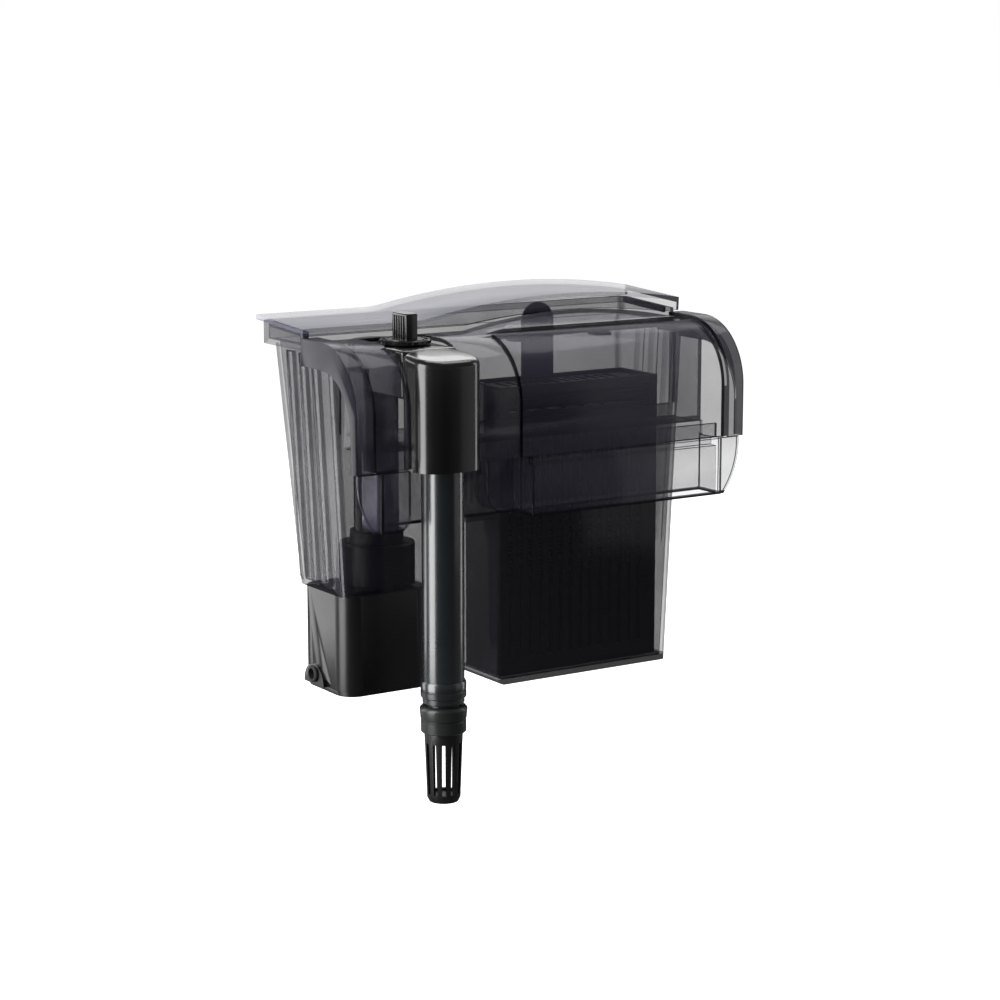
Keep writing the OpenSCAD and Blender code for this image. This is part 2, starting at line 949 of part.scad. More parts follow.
module impeller() {
    color([0.80, 0.80, 0.78])
        translate([pump_x, pump_y, impeller_z])
            difference() {
                union() {
                    cylinder(r = impeller_r, h = 1.6);
                    cylinder(r = hub_r, h = impeller_h);
                    translate([0, 0, magnet_top - impeller_z])
                        cylinder(r = hub_r, h = impeller_z - magnet_top + eps);
                    for (i = [0:vanes - 1]) {
                        rotate([0, 0, i * 360 / vanes])
                            translate([hub_r - 0.6, -0.7, 1.5])
                                cube([impeller_r - hub_r + 0.2, 1.4, impeller_h - 2]);
                    }
                }
                translate([0, 0, magnet_top - impeller_z - 1])
                    cylinder(r = shaft_r + run, h = lot);
            }
}

module rotor_magnet() {
    color([0.16, 0.15, 0.15])
        translate([pump_x, pump_y, magnet_z])
            tube(magnet_d / 2, shaft_r + run, magnet_h);
}

module rotor_shaft() {
    color([0.90, 0.89, 0.86])
        translate([pump_x, pump_y, well_floor + 1])
            cylinder(r = shaft_r, h = shaft_top + 1 - well_floor - 1);
}

module bearing(z) {
    translate([pump_x, pump_y, z])
        tube(bearing_r, shaft_r, bearing_h);
}

module upper_bearing() {
    color([0.05, 0.05, 0.05])
        bearing(shaft_top - 1);
}

module lower_bearing() {
    color([0.05, 0.05, 0.05])
        bearing(well_floor);
}

module motor_outline(inset) {
    rounded(
        motor_x + inset, motor_front + inset,
        motor_x + motor_w - inset, motor_front + motor_d - inset,
        motor_r - inset
    );
}

module motor_housing() {
    color([0.05, 0.05, 0.055])
        difference() {
            union() {
                difference() {
                    translate([0, 0, motor_z])
                        linear_extrude(height = motor_h)
                            motor_outline(0);
                    translate([0, 0, motor_z - 1])
                        linear_extrude(height = motor_h - motor_t + 1)
                            motor_outline(motor_t);
                }
                // boss that plugs the hole in the case
                translate([pump_x, pump_y, -pump_h - eps])
                    cylinder(r = boss_r, h = boss_h);
                // well of the rotor
                translate([pump_x, pump_y, well_floor - well_t])
                    cylinder(r = well_r + well_t, h = -pump_h - well_floor + well_t - 1);
                // arched boss round the cable's gland
                translate([motor_x - boss_out, 0, 0])
                    along_x(0, boss_out + 1)
                        intersection() {
                            translate([gland_y, motor_z + 0.5])
                                circle(r = boss_half);
                            span(-lot, motor_z, lot, lot);
                        }
                // screw posts
                for (p = screw_points()) {
                    translate([p[0], p[1], motor_z + eps])
                        cylinder(r = screw_r + 1.8, h = post_h);
                }
            }
            translate([pump_x, pump_y, well_floor])
                cylinder(r = well_r, h = lot);
            // groove of the seal
            translate([pump_x, pump_y, -pump_h + wall / 2])
                ring(boss_r, 0.8);
            for (p = screw_points()) {
                translate([p[0], p[1], motor_z - 1])
                    cylinder(r = screw_r, h = 11);
            }
            // cable's way in
            translate([motor_x - boss_out - 1, gland_y, gland_z])
                rotate([0, 90, 0])
                    cylinder(r = gland_r - 0.8, h = boss_out + motor_t + 2);
        }
}

function screw_points() = [
    for (x = [motor_x + screw_inset, motor_x + motor_w - screw_inset])
        for (y = [motor_front + screw_inset, motor_front + motor_d - screw_inset])
            [x, y]
];

module motor_base() {
    color([0.05, 0.05, 0.055])
        difference() {
            translate([0, 0, motor_z - base_t])
                linear_extrude(height = base_t)
                    motor_outline(0.8);
            for (p = screw_points()) {
                translate([p[0], p[1], motor_z - base_t - 1])
                    cylinder(r = screw_r + 0.2, h = lot);
                translate([p[0], p[1], motor_z - base_t - 1])
                    cylinder(r = screw_r + 1.7, h = 2.3);
            }
        }
}

module base_screws() {
    color([0.70, 0.70, 0.72])
        for (p = screw_points()) {
            translate([p[0], p[1], motor_z - base_t + 0.1])
                difference() {
                    cylinder(r = screw_r + 1.5, h = 1.2);
                    for (a = [0, 90]) {
                        rotate([0, 0, a])
                            translate([-1.6, -0.35, -1])
                                cube([3.2, 0.7, 1.6]);
                    }
                }
            translate([p[0], p[1], motor_z - base_t + 1.2])
                cylinder(r = screw_r, h = 8.5);
        }
}

// Laminated core: two arms beside the well, joined by a yoke
module stator_core() {
    arm = 7;
    z = magnet_z + 6;
    far = motor_x + motor_t + 3;
    color([0.45, 0.45, 0.47])
        for (layer = [0:4]) {
            translate([0, 0, z + layer * (core_t / 5)])
                linear_extrude(height = core_t / 5 - 0.15)
                    difference() {
                        union() {
                            for (side = [-1, 1]) {
                                span(
                                    far, pump_y + side * (well_r + 4) - arm / 2,
                                    pump_x + 7, pump_y + side * (well_r + 4) + arm / 2
                                );
                            }
                            span(far, pump_y - well_r - 4, far + arm, pump_y + well_r + 4);
                        }
                        translate([pump_x, pump_y])
                            circle(r = well_r + well_t + gap);
                    }
        }
}

module stator_coil() {
    arm = 7;
    z = magnet_z + 6;
    far = motor_x + motor_t + 3;
    color([0.72, 0.40, 0.22])
        difference() {
            along_y(pump_y - well_r + 1.5, pump_y + well_r - 1.5)
                rounded(far - 2.6, z - 3, far + arm + 3, z + core_t + 3, 2);
            along_y(-lot, lot)
                span(far - 0.2, z - 0.2, far + arm + 0.2, z + core_t + 0.2);
        }
}

module motor_seal() {
    color([0.03, 0.03, 0.03])
        translate([pump_x, pump_y, -pump_h + wall / 2])
            difference() {
                ring(boss_r, 0.75);
                tube(boss_r + 5, boss_r + gap, 3);
                translate([0, 0, -2])
                    tube(boss_r + 5, boss_r + gap, 4);
            }
}

// Grommet that the mains lead comes in through
module cable_gland() {
    color([0.06, 0.06, 0.06])
        translate([motor_x - boss_out, gland_y, gland_z])
            rotate([0, 90, 0])
                difference() {
                    union() {
                        translate([0, 0, -gland_out])
                            cylinder(r = gland_r, h = gland_out);
                        translate([0, 0, -eps])
                            cylinder(r = gland_r - 0.8, h = boss_out + motor_t + eps);
                        translate([0, 0, boss_out + motor_t])
                            cylinder(r = gland_r, h = 1.4);
                    }
                    translate([0, 0, -gland_out - 1])
                        cylinder(r = cable_hole_d / 2, h = lot);
                }
}

// ---- media ----

module basket_slots(y) {
    count = floor((basket_w - 8) / slot_pitch);
    for (i = [0:count - 1]) {
        block(
            [basket_x + 5 + i * slot_pitch, y - 1, basket_z + 8],
            [basket_x + 5 + i * slot_pitch + slot_w, y + basket_t + 1, basket_top - 22]
        );
    }
}

module media_basket() {
    x1 = basket_x + basket_w;
    y1 = basket_y + basket_d;
    color([0.06, 0.06, 0.065])
        difference() {
            union() {
                difference() {
                    block([basket_x, basket_y, basket_z], [x1, y1, basket_top]);
                    block(
                        [basket_x + basket_t, basket_y + basket_t, basket_z + basket_t],
                        [x1 - basket_t, y1 - basket_t, lot]
                    );
                }
                // pull tab
                block(
                    [tab_x - tab_w / 2, y1 - tab_t, basket_top - 12],
                    [tab_x + tab_w / 2, y1, tab_top - tab_w / 2]
                );
                translate([tab_x, y1, tab_top - tab_w / 2])
                    rotate([90, 0, 0])
                        cylinder(r = tab_w / 2, h = tab_t);
            }
            basket_slots(basket_y);
            basket_slots(y1 - basket_t);
            // louvres near the top of the front
            for (z = [basket_top - 7, basket_top - 13]) {
                block([basket_x + 6, basket_y - 1, z], [x1 - 6, basket_y + basket_t + 1, z + 2.6]);
            }
            // floor slots
            for (i = [0:floor((basket_w - 8) / slot_pitch) - 1]) {
                block(
                    [basket_x + 5 + i * slot_pitch, basket_y + 5, basket_z - 1],
                    [basket_x + 5 + i * slot_pitch + slot_w, y1 - 5, basket_z + basket_t + 1]
                );
            }
        }
}

module basket_grid() {
    x0 = basket_x + basket_t + 0.3;
    x1 = basket_x + basket_w - basket_t - 0.3;
    y0 = basket_y + basket_t + 0.3;
    y1 = basket_y + basket_d - basket_t - 0.3;
    color([0.07, 0.07, 0.075])
        difference() {
            block([x0, y0, basket_top - 4], [x1, y1, basket_top - 2]);
            for (i = [0:floor((x1 - x0 - 8) / slot_pitch) - 1]) {
                block(
                    [x0 + 5 + i * slot_pitch, y0 + 3, basket_top - 5],
                    [x0 + 5 + i * slot_pitch + 3.4, y1 - 3, basket_top]
                );
            }
        }
}

module soft_block(z, h, r) {
    inset = basket_t + 0.5;
    translate([0, 0, z])
        linear_extrude(height = h)
            rounded(
                basket_x + inset, basket_y + inset,
                basket_x + basket_w - inset, basket_y + basket_d - inset, r
            );
}

module foam_sponge() {
    color([0.10, 0.10, 0.11])
        soft_block(foam_z, foam_h, 2);
}

module carbon_bag() {
    color([0.15, 0.15, 0.16])
        soft_block(carbon_z, carbon_h, 7);
}

module ceramic_rings() {
    across = floor((basket_w - 2 * basket_t) / ring_pitch);
    deep = floor((basket_d - 2 * basket_t) / ring_pitch);
    x0 = basket_x + (basket_w - across * ring_pitch) / 2 + ring_pitch / 2;
    y0 = basket_y + (basket_d - deep * ring_pitch) / 2 + ring_pitch / 2;
    color([0.86, 0.83, 0.76])
        for (i = [0:across - 1]) {
            for (j = [0:deep - 1]) {
                for (k = [0:ring_layers - 1]) {
                    translate([x0 + i * ring_pitch, y0 + j * ring_pitch, rings_z + k * ring_pitch])
                        tube(ring_d / 2, ring_d / 4, ring_h);
                }
            }
        }
}

filter_case();
outflow_spout();
hood();
outflow_cover();
lid();
flow_baffle();
intake_elbow();
elbow_seal();
flow_knob();
knob_seal();
flow_gate();
intake_tube();
tube_band();
extension_tube();
strainer_socket();
strainer();
volute_cover();
impeller();
rotor_magnet();
rotor_shaft();
upper_bearing();
lower_bearing();
motor_housing();
motor_base();
base_screws();
stator_core();
stator_coil();
motor_seal();
cable_gland();
media_basket();
basket_grid();
foam_sponge();
carbon_bag();
ceramic_rings();
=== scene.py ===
import math
import random

import bmesh
import bpy
from mathutils import Matrix, Vector, noise


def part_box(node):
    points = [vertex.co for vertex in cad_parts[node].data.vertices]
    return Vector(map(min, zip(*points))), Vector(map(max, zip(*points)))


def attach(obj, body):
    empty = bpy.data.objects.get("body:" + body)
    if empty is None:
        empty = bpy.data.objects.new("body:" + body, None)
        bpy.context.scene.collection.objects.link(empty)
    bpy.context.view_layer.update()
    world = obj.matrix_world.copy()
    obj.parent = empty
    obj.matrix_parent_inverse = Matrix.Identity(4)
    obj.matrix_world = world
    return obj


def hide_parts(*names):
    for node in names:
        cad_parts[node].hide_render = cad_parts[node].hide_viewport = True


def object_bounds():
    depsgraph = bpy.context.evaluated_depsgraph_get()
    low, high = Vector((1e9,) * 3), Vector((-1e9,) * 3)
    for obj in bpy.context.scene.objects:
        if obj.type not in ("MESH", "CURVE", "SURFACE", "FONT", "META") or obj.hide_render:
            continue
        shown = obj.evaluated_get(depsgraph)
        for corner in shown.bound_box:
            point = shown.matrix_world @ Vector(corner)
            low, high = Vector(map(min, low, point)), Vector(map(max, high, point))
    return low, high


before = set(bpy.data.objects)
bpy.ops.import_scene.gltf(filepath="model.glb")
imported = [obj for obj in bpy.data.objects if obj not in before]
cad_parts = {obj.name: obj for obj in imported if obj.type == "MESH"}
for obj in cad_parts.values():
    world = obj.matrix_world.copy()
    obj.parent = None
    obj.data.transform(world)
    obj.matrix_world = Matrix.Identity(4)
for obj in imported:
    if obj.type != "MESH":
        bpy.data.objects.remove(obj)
cadLow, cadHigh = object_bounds()
mm = 0.001
random.seed(11)
print("frame loaded:", len(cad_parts), "nodes")

stageLook = {
    "cameraPlace": (-0.686881, -1.032721, 0.194062),
    "cameraAim": (-0.00755, 0.012, -0.03335),
    "lens": 92.88,
    "paperWhite": 0.93,
    "paperGlow": 0.97,
    "paperBounce": 0.15,
    "floorDrop": 0.066,   # the filter hangs, and its tube slides out downwards
    "roomWhite": 1.0,
    "roomDim": 0.13,
}

studioLights = {
    # name: place, aim, width, height, watts
    "topBox": ((0.35, 0.25, 1.0), (0.0, 0.0, 0.0), 0.8, 0.6, 4.0),
    "leftBox": ((-0.47, -0.005, 0.07), (-0.07, -0.03, 0.03), 0.27, 0.58, 3.3),
    "leftCard": ((-0.32, 0.42, 0.01), (-0.07, 0.03, 0.0), 0.32, 0.46, 1.25),
    "backCard": ((0.75, 1.15, 0.42), (0.0, 0.0, 0.05), 1.5, 1.0, 3.0),
    "rightFill": ((0.46, -0.07, 0.03), (-0.05, -0.03, 0.01), 0.12, 0.50, 0.34),
    "frontCard": ((0.34, -0.36, 0.02), (0.0, -0.03, -0.02), 0.32, 0.36, 0.12),
    "crownCard": ((0.56, 0.86, 0.68), (0.0, 0.0, 0.0), 1.1, 0.5, 3.2),
}


def aimAt(place, target):
    return (Vector(target) - Vector(place)).to_track_quat("-Z", "Y").to_euler()


def whiteForCamera(tree, seen, unseen, shaderOut):
    # the camera sees clean white, and the object is lit and mirrored by something dimmer
    path = tree.nodes.new("ShaderNodeLightPath")
    choice = tree.nodes.new("ShaderNodeMixShader")
    tree.links.new(path.outputs["Is Camera Ray"], choice.inputs[0])
    tree.links.new(unseen, choice.inputs[1])
    tree.links.new(seen, choice.inputs[2])
    tree.links.new(choice.outputs[0], shaderOut.inputs["Surface"])


def buildStage():
    scene = bpy.context.scene
    lens = bpy.data.cameras.new("studioCamera")
    lens.lens = stageLook["lens"]
    lens.sensor_width = 36
    camera = bpy.data.objects.new("studioCamera", lens)
    camera.location = stageLook["cameraPlace"]
    camera.rotation_euler = aimAt(stageLook["cameraPlace"], stageLook["cameraAim"])
    scene.collection.objects.link(camera)
    scene.camera = camera
    for name, (place, target, width, height, watts) in studioLights.items():
        lamp = bpy.data.lights.new(name, "AREA")
        lamp.shape = "RECTANGLE"
        lamp.size, lamp.size_y = width, height
        lamp.energy = watts
        light = bpy.data.objects.new(name, lamp)
        light.location = place
        light.rotation_euler = aimAt(place, target)
        light.visible_camera = False
        scene.collection.objects.link(light)
    sky = bpy.data.worlds.new("whiteRoom")
    sky.use_nodes = True
    tree = sky.node_tree
    dim = tree.nodes["Background"]
    dim.inputs["Color"].default_value = (1, 1, 1, 1)
    dim.inputs["Strength"].default_value = stageLook["roomDim"]
    clean = tree.nodes.new("ShaderNodeBackground")
    clean.inputs["Strength"].default_value = stageLook["roomWhite"]
    clean.inputs["Color"].default_value = (1, 1, 1, 1)
    whiteForCamera(tree, clean.outputs[0], dim.outputs[0], tree.nodes["World Output"])
    scene.world = sky
    scene.view_settings.view_transform = "Standard"
    scene.cycles.transparent_max_bounces = 40
    bm = bmesh.new()
    bmesh.ops.create_grid(bm, x_segments=1, y_segments=1, size=12)
    bmesh.ops.translate(bm, verts=bm.verts, vec=(0, 0, cadLow.z - stageLook["floorDrop"]))
    mesh = bpy.data.meshes.new("studioFloor")
    bm.to_mesh(mesh)
    bm.free()
    floor = bpy.data.objects.new("studioFloor", mesh)
    scene.collection.objects.link(floor)
    paper = bpy.data.materials.new("floorPaper")
    paper.use_nodes = True
    tree = paper.node_tree
    white = tree.nodes["Principled BSDF"]
    white.inputs["Base Color"].default_value = (*[stageLook["paperWhite"]] * 3, 1)
    white.inputs["Roughness"].default_value = 1.0
    white.inputs["Specular IOR Level"].default_value = 0.0
    white.inputs["Emission Color"].default_value = (1, 1, 1, 1)
    white.inputs["Emission Strength"].default_value = stageLook["paperGlow"]
    grey = tree.nodes.new("ShaderNodeBsdfDiffuse")
    grey.inputs["Color"].default_value = (*[stageLook["paperBounce"]] * 3, 1)
    whiteForCamera(tree, white.outputs[0], grey.outputs[0], tree.nodes["Material Output"])
    mesh.materials.append(paper)


buildStage()
print("stage built")


def newGroup(name, inputs, outputs):
    tree = bpy.data.node_groups.new(name, "ShaderNodeTree")
    for label, kind, value in inputs:
        socket = tree.interface.new_socket(label, in_out="INPUT", socket_type=kind)
        socket.default_value = value
    for label, kind in outputs:
        tree.interface.new_socket(label, in_out="OUTPUT", socket_type=kind)
    return tree, tree.nodes.new("NodeGroupInput"), tree.nodes.new("NodeGroupOutput")


def addNode(tree, kind, links=(), **settings):
    # links pairs an input socket with the output or value that goes into it
    made = tree.nodes.new(kind)
    for key, value in settings.items():
        setattr(made, key, value)
    for socket, source in dict(links).items():
        if isinstance(source, bpy.types.NodeSocket):
            tree.links.new(source, made.inputs[socket])
        else:
            made.inputs[socket].default_value = source
    return made


def mouldGrainGroup():
    # fine skin of a moulded plastic: a height for the bump and a change of gloss
    number = "NodeSocketFloat"
    tree, given, out = newGroup(
        "mouldGrain",
        [("Grain Size", number, 1800.0), ("Smudge Size", number, 40.0),
         ("Smudge", number, 0.08), ("Roughness", number, 0.25)],
        [("Height", number), ("Roughness", number)],
    )
    spot = addNode(tree, "ShaderNodeTexCoord")
    grain = addNode(tree, "ShaderNodeTexNoise",
                    {"Vector": spot.outputs["Object"], "Scale": given.outputs["Grain Size"],
                     "Detail": 3.0, "Roughness": 0.6})
    smudge = addNode(tree, "ShaderNodeTexNoise",
                     {"Vector": spot.outputs["Object"], "Scale": given.outputs["Smudge Size"],
                      "Detail": 4.0, "Roughness": 0.55, "Distortion": 0.6})
    spread = addNode(tree, "ShaderNodeMapRange", {"Value": smudge.outputs["Fac"], "From Min": 0.35,
                                                  "From Max": 0.7, "To Min": -0.5, "To Max": 1.0})
    change = addNode(tree, "ShaderNodeMath", {0: spread.outputs["Result"], 1: given.outputs["Smudge"]},
                     operation="MULTIPLY")
    total = addNode(tree, "ShaderNodeMath", {0: change.outputs[0], 1: given.outputs["Roughness"]},
                    operation="ADD", use_clamp=True)
    tree.links.new(grain.outputs["Fac"], out.inputs["Height"])
    tree.links.new(total.outputs[0], out.inputs["Roughness"])
    return tree


def rimTintGroup():
    # colour and cover of a smoked sheet: its cut rims look darker and denser than its faces
    number, colour = "NodeSocketFloat", "NodeSocketColor"
    tree, given, out = newGroup(
        "rimTint",
        [("Face Colour", colour, (0.2, 0.2, 0.25, 1)), ("Rim Colour", colour, (0.05, 0.05, 0.07, 1)),
         ("Face Cover", number, 0.3), ("Rim Cover", number, 0.8), ("Cloud", number, 0.06)],
        [("Colour", colour), ("Cover", number)],
    )
    spot = addNode(tree, "ShaderNodeTexCoord")
    mark = addNode(tree, "ShaderNodeAttribute", attribute_name="rimMark")
    cloud = addNode(tree, "ShaderNodeTexNoise", {"Vector": spot.outputs["Object"], "Scale": 22.0,
                                                 "Detail": 2.0, "Distortion": 1.2})
    drift = addNode(tree, "ShaderNodeMapRange", {"Value": cloud.outputs["Fac"], "From Min": 0.3,
                                                 "From Max": 0.7, "To Min": -1.0, "To Max": 1.0})
    shift = addNode(tree, "ShaderNodeMath", {0: drift.outputs["Result"], 1: given.outputs["Cloud"]},
                    operation="MULTIPLY")
    cover = addNode(tree, "ShaderNodeMath", {0: given.outputs["Face Cover"], 1: shift.outputs[0]},
                    operation="ADD")
    tone = addNode(tree, "ShaderNodeMix", {"Factor": mark.outputs["Fac"], "A": given.outputs["Face Colour"],
                                           "B": given.outputs["Rim Colour"]}, data_type="RGBA")
    dense = addNode(tree, "ShaderNodeMix", {"Factor": mark.outputs["Fac"], "A": cover.outputs[0],
                                            "B": given.outputs["Rim Cover"]})
    tree.links.new(tone.outputs["Result"], out.inputs["Colour"])
    tree.links.new(dense.outputs["Result"], out.inputs["Cover"])
    return tree


groups = {"mouldGrain": mouldGrainGroup(), "rimTint": rimTintGroup()}
print("shader groups built")


def newMaterial(name):
    material = bpy.data.materials.new(name)
    material.use_nodes = True
    tree = material.node_tree
    return material, tree, tree.nodes["Principled BSDF"]


def useGroup(tree, name, **values):
    made = tree.nodes.new("ShaderNodeGroup")
    made.node_tree = groups[name]
    for label, value in values.items():
        made.inputs[label].default_value = value
    return made


def addGrain(tree, shader, grainSize, smudgeSize, smudge, roughness, bump):
    grain = useGroup(tree, "mouldGrain", **{"Grain Size": grainSize, "Smudge Size": smudgeSize,
                                            "Smudge": smudge, "Roughness": roughness})
    tree.links.new(grain.outputs["Roughness"], shader.inputs["Roughness"])
    relief = addNode(tree, "ShaderNodeBump", {"Height": grain.outputs["Height"], "Strength": bump,
                                              "Distance": 0.0001})
    tree.links.new(relief.outputs["Normal"], shader.inputs["Normal"])
    return relief


# clear sheets: face colour, rim colour, face cover, rim cover, roughness, gloss at a slant
smokeLooks = {
    "smokeCase": ((0.026, 0.024, 0.036), (0.006, 0.006, 0.009), 0.43, 0.87, 0.10, 0.34),
    "smokeSpout": ((0.10, 0.092, 0.15), (0.005, 0.005, 0.007), 0.22, 0.95, 0.10, 0.30),
    "smokeHood": ((0.12, 0.112, 0.165), (0.007, 0.007, 0.011), 0.29, 0.90, 0.14, 0.30),
    "smokeCover": ((0.10, 0.093, 0.142), (0.004, 0.004, 0.006), 0.37, 0.93, 0.20, 0.10),
    # the lid's flat top is painted lighter and denser than its skirt and rim: painted sheen
    "smokeLidSheenTop": ((0.25, 0.25, 0.31), (0.02, 0.02, 0.03), 0.50, 0.9, 0.30, 0.42),
    "smokeSkirt": ((0.15, 0.142, 0.23), (0.006, 0.006, 0.009), 0.23, 0.95, 0.16, 0.12),
}

smokeSkin = {
    "cloud": 0.03, "grainSize": 900.0, "smudgeSize": 26.0, "smudge": 0.06, "depth": 0.012,
    "inside": 0.5,         # roughness of the colour under the gloss
    "straightGloss": 0.028, "slantPower": 5.0,
}


def smokedPlastic(name):
    face, rim, faceCover, rimCover, roughness, slantGloss = smokeLooks[name]
    material, tree, shader = newMaterial(name)
    tint = useGroup(tree, "rimTint", **{"Face Colour": (*face, 1), "Rim Colour": (*rim, 1),
                                        "Face Cover": faceCover, "Rim Cover": rimCover,
                                        "Cloud": smokeSkin["cloud"]})
    tree.links.new(tint.outputs["Colour"], shader.inputs["Base Color"])
    tree.links.new(tint.outputs["Cover"], shader.inputs["Alpha"])
    relief = addGrain(tree, shader, smokeSkin["grainSize"], smokeSkin["smudgeSize"], smokeSkin["smudge"],
                      smokeSkin["inside"], smokeSkin["depth"])
    shader.inputs["Specular IOR Level"].default_value = 0.0
    # the sheet keeps its full surface gloss however clear it is, on its outer face only
    gloss = addNode(tree, "ShaderNodeBsdfGlossy", {"Color": (1, 1, 1, 1), "Roughness": roughness,
                                                   "Normal": relief.outputs["Normal"]})
    slant = addNode(tree, "ShaderNodeLayerWeight", {"Blend": 0.5})
    steep = addNode(tree, "ShaderNodeMath", {0: slant.outputs["Facing"], 1: smokeSkin["slantPower"]},
                    operation="POWER")
    share = addNode(tree, "ShaderNodeMapRange", {"Value": steep.outputs[0], "To Max": slantGloss,
                                                 "To Min": smokeSkin["straightGloss"]})
    side = addNode(tree, "ShaderNodeNewGeometry")
    outside = addNode(tree, "ShaderNodeMath", {0: 1.0, 1: side.outputs["Backfacing"]}, operation="SUBTRACT")
    amount = addNode(tree, "ShaderNodeMath", {0: share.outputs["Result"], 1: outside.outputs[0]},
                     operation="MULTIPLY")
    mixed = addNode(tree, "ShaderNodeMixShader", {0: amount.outputs[0], 1: shader.outputs[0],
                                                  2: gloss.outputs[0]})
    tree.links.new(mixed.outputs[0], tree.nodes["Material Output"].inputs["Surface"])
    return material


# solid plastics: colour, roughness, smudge, grain size, bump, coat, specular level
solidLooks = {
    "glossBlack": ((0.006, 0.006, 0.0065), 0.24, 0.06, 700.0, 0.04, 0.5, 0.5),
    "motorBlack": ((0.004, 0.004, 0.0045), 0.33, 0.06, 900.0, 0.08, 0.1, 0.5),
    "darkTube": ((0.007, 0.011, 0.013), 0.28, 0.05, 500.0, 0.03, 0.7, 0.9),
    "socketGrey": ((0.017, 0.020, 0.019), 0.34, 0.08, 1300.0, 0.15, 0.2, 0.5),
    "satinBlack": ((0.007, 0.007, 0.0075), 0.38, 0.08, 1500.0, 0.22, 0.0, 0.5),
    "mediaBlack": ((0.005, 0.005, 0.0055), 0.42, 0.08, 1200.0, 0.25, 0.0, 0.5),
    "sealRubber": ((0.008, 0.008, 0.008), 0.72, 0.06, 2400.0, 0.4, 0.0, 0.5),
    "naturalNylon": ((0.62, 0.61, 0.57), 0.38, 0.06, 1100.0, 0.2, 0.0, 0.5),
    "ferrite": ((0.030, 0.028, 0.029), 0.36, 0.1, 1900.0, 0.35, 0.0, 0.5),
    "shaftCeramic": ((0.80, 0.79, 0.76), 0.14, 0.05, 2600.0, 0.1, 0.2, 0.5),
}


def solidPlastic(name):
    colour, roughness, smudge, grainSize, bump, coat, specular = solidLooks[name]
    material, tree, shader = newMaterial(name)
    addGrain(tree, shader, grainSize, 30.0, smudge, roughness, bump)
    spot = addNode(tree, "ShaderNodeTexCoord")
    drift = addNode(tree, "ShaderNodeTexNoise", {"Vector": spot.outputs["Object"], "Scale": 55.0,
                                                 "Detail": 3.0})
    tone = addNode(tree, "ShaderNodeMix", {"Factor": drift.outputs["Fac"],
                                           "A": (*[c * 0.75 for c in colour], 1),
                                           "B": (*[min(1.0, c * 1.25) for c in colour], 1)},
                   data_type="RGBA")
    tree.links.new(tone.outputs["Result"], shader.inputs["Base Color"])
    shader.inputs["Coat Weight"].default_value = coat
    shader.inputs["Specular IOR Level"].default_value = specular
    shader.inputs["Coat Roughness"].default_value = 0.11
    return material


def metal(name, colour, roughness, stretch):
    # drawn or rolled metal: streaks along one direction
    material, tree, shader = newMaterial(name)
    spot = addNode(tree, "ShaderNodeTexCoord")
    turned = addNode(tree, "ShaderNodeMapping", {"Vector": spot.outputs["Object"], "Scale": stretch})
    streak = addNode(tree, "ShaderNodeTexNoise", {"Vector": turned.outputs["Vector"], "Scale": 900.0,
                                                  "Detail": 4.0})
    gloss = addNode(tree, "ShaderNodeMapRange", {"Value": streak.outputs["Fac"], "To Min": roughness * 0.7,
                                                 "To Max": roughness * 1.4})
    tone = addNode(tree, "ShaderNodeMix", {"Factor": streak.outputs["Fac"],
                                           "A": (*[c * 0.8 for c in colour], 1), "B": (*colour, 1)},
                   data_type="RGBA")
    relief = addNode(tree, "ShaderNodeBump", {"Height": streak.outputs["Fac"], "Strength": 0.15,
                                              "Distance": 0.0001})
    tree.links.new(gloss.outputs["Result"], shader.inputs["Roughness"])
    tree.links.new(tone.outputs["Result"], shader.inputs["Base Color"])
    tree.links.new(relief.outputs["Normal"], shader.inputs["Normal"])
    shader.inputs["Metallic"].default_value = 1.0
    return material


def porous(name, shadedPoreTone, lightTone, poreSize, depth, roughness):
    # open-cell foam or porous ceramic: round cells with lighter walls between them; the cells are painted
    # darker than the walls, painted shade in the pores
    material, tree, shader = newMaterial(name)
    spot = addNode(tree, "ShaderNodeTexCoord")
    cells = addNode(tree, "ShaderNodeTexVoronoi", {"Vector": spot.outputs["Object"], "Scale": poreSize},
                    feature="DISTANCE_TO_EDGE")
    fleck = addNode(tree, "ShaderNodeTexNoise", {"Vector": spot.outputs["Object"],
                                                 "Scale": poreSize * 0.3, "Detail": 5.0})
    wallMask = addNode(tree, "ShaderNodeMapRange", {"Value": cells.outputs["Distance"], "From Min": 0.0,
                                                    "From Max": 0.22, "To Min": 1.0, "To Max": 0.0})
    blend = addNode(tree, "ShaderNodeMath", {0: wallMask.outputs["Result"], 1: fleck.outputs["Fac"]},
                    operation="MULTIPLY", use_clamp=True)
    # pore colour darker than the walls: painted shade in the pores
    tone = addNode(tree, "ShaderNodeMix", {"Factor": blend.outputs[0], "A": (*shadedPoreTone, 1),
                                           "B": (*lightTone, 1)}, data_type="RGBA")
    relief = addNode(tree, "ShaderNodeBump", {"Height": blend.outputs[0], "Strength": depth,
                                              "Distance": 0.0006})
    gloss = addNode(tree, "ShaderNodeMapRange", {"Value": fleck.outputs["Fac"], "To Min": roughness - 0.1,
                                                 "To Max": min(1.0, roughness + 0.1)})
    tree.links.new(tone.outputs["Result"], shader.inputs["Base Color"])
    tree.links.new(relief.outputs["Normal"], shader.inputs["Normal"])
    tree.links.new(gloss.outputs["Result"], shader.inputs["Roughness"])
    return material


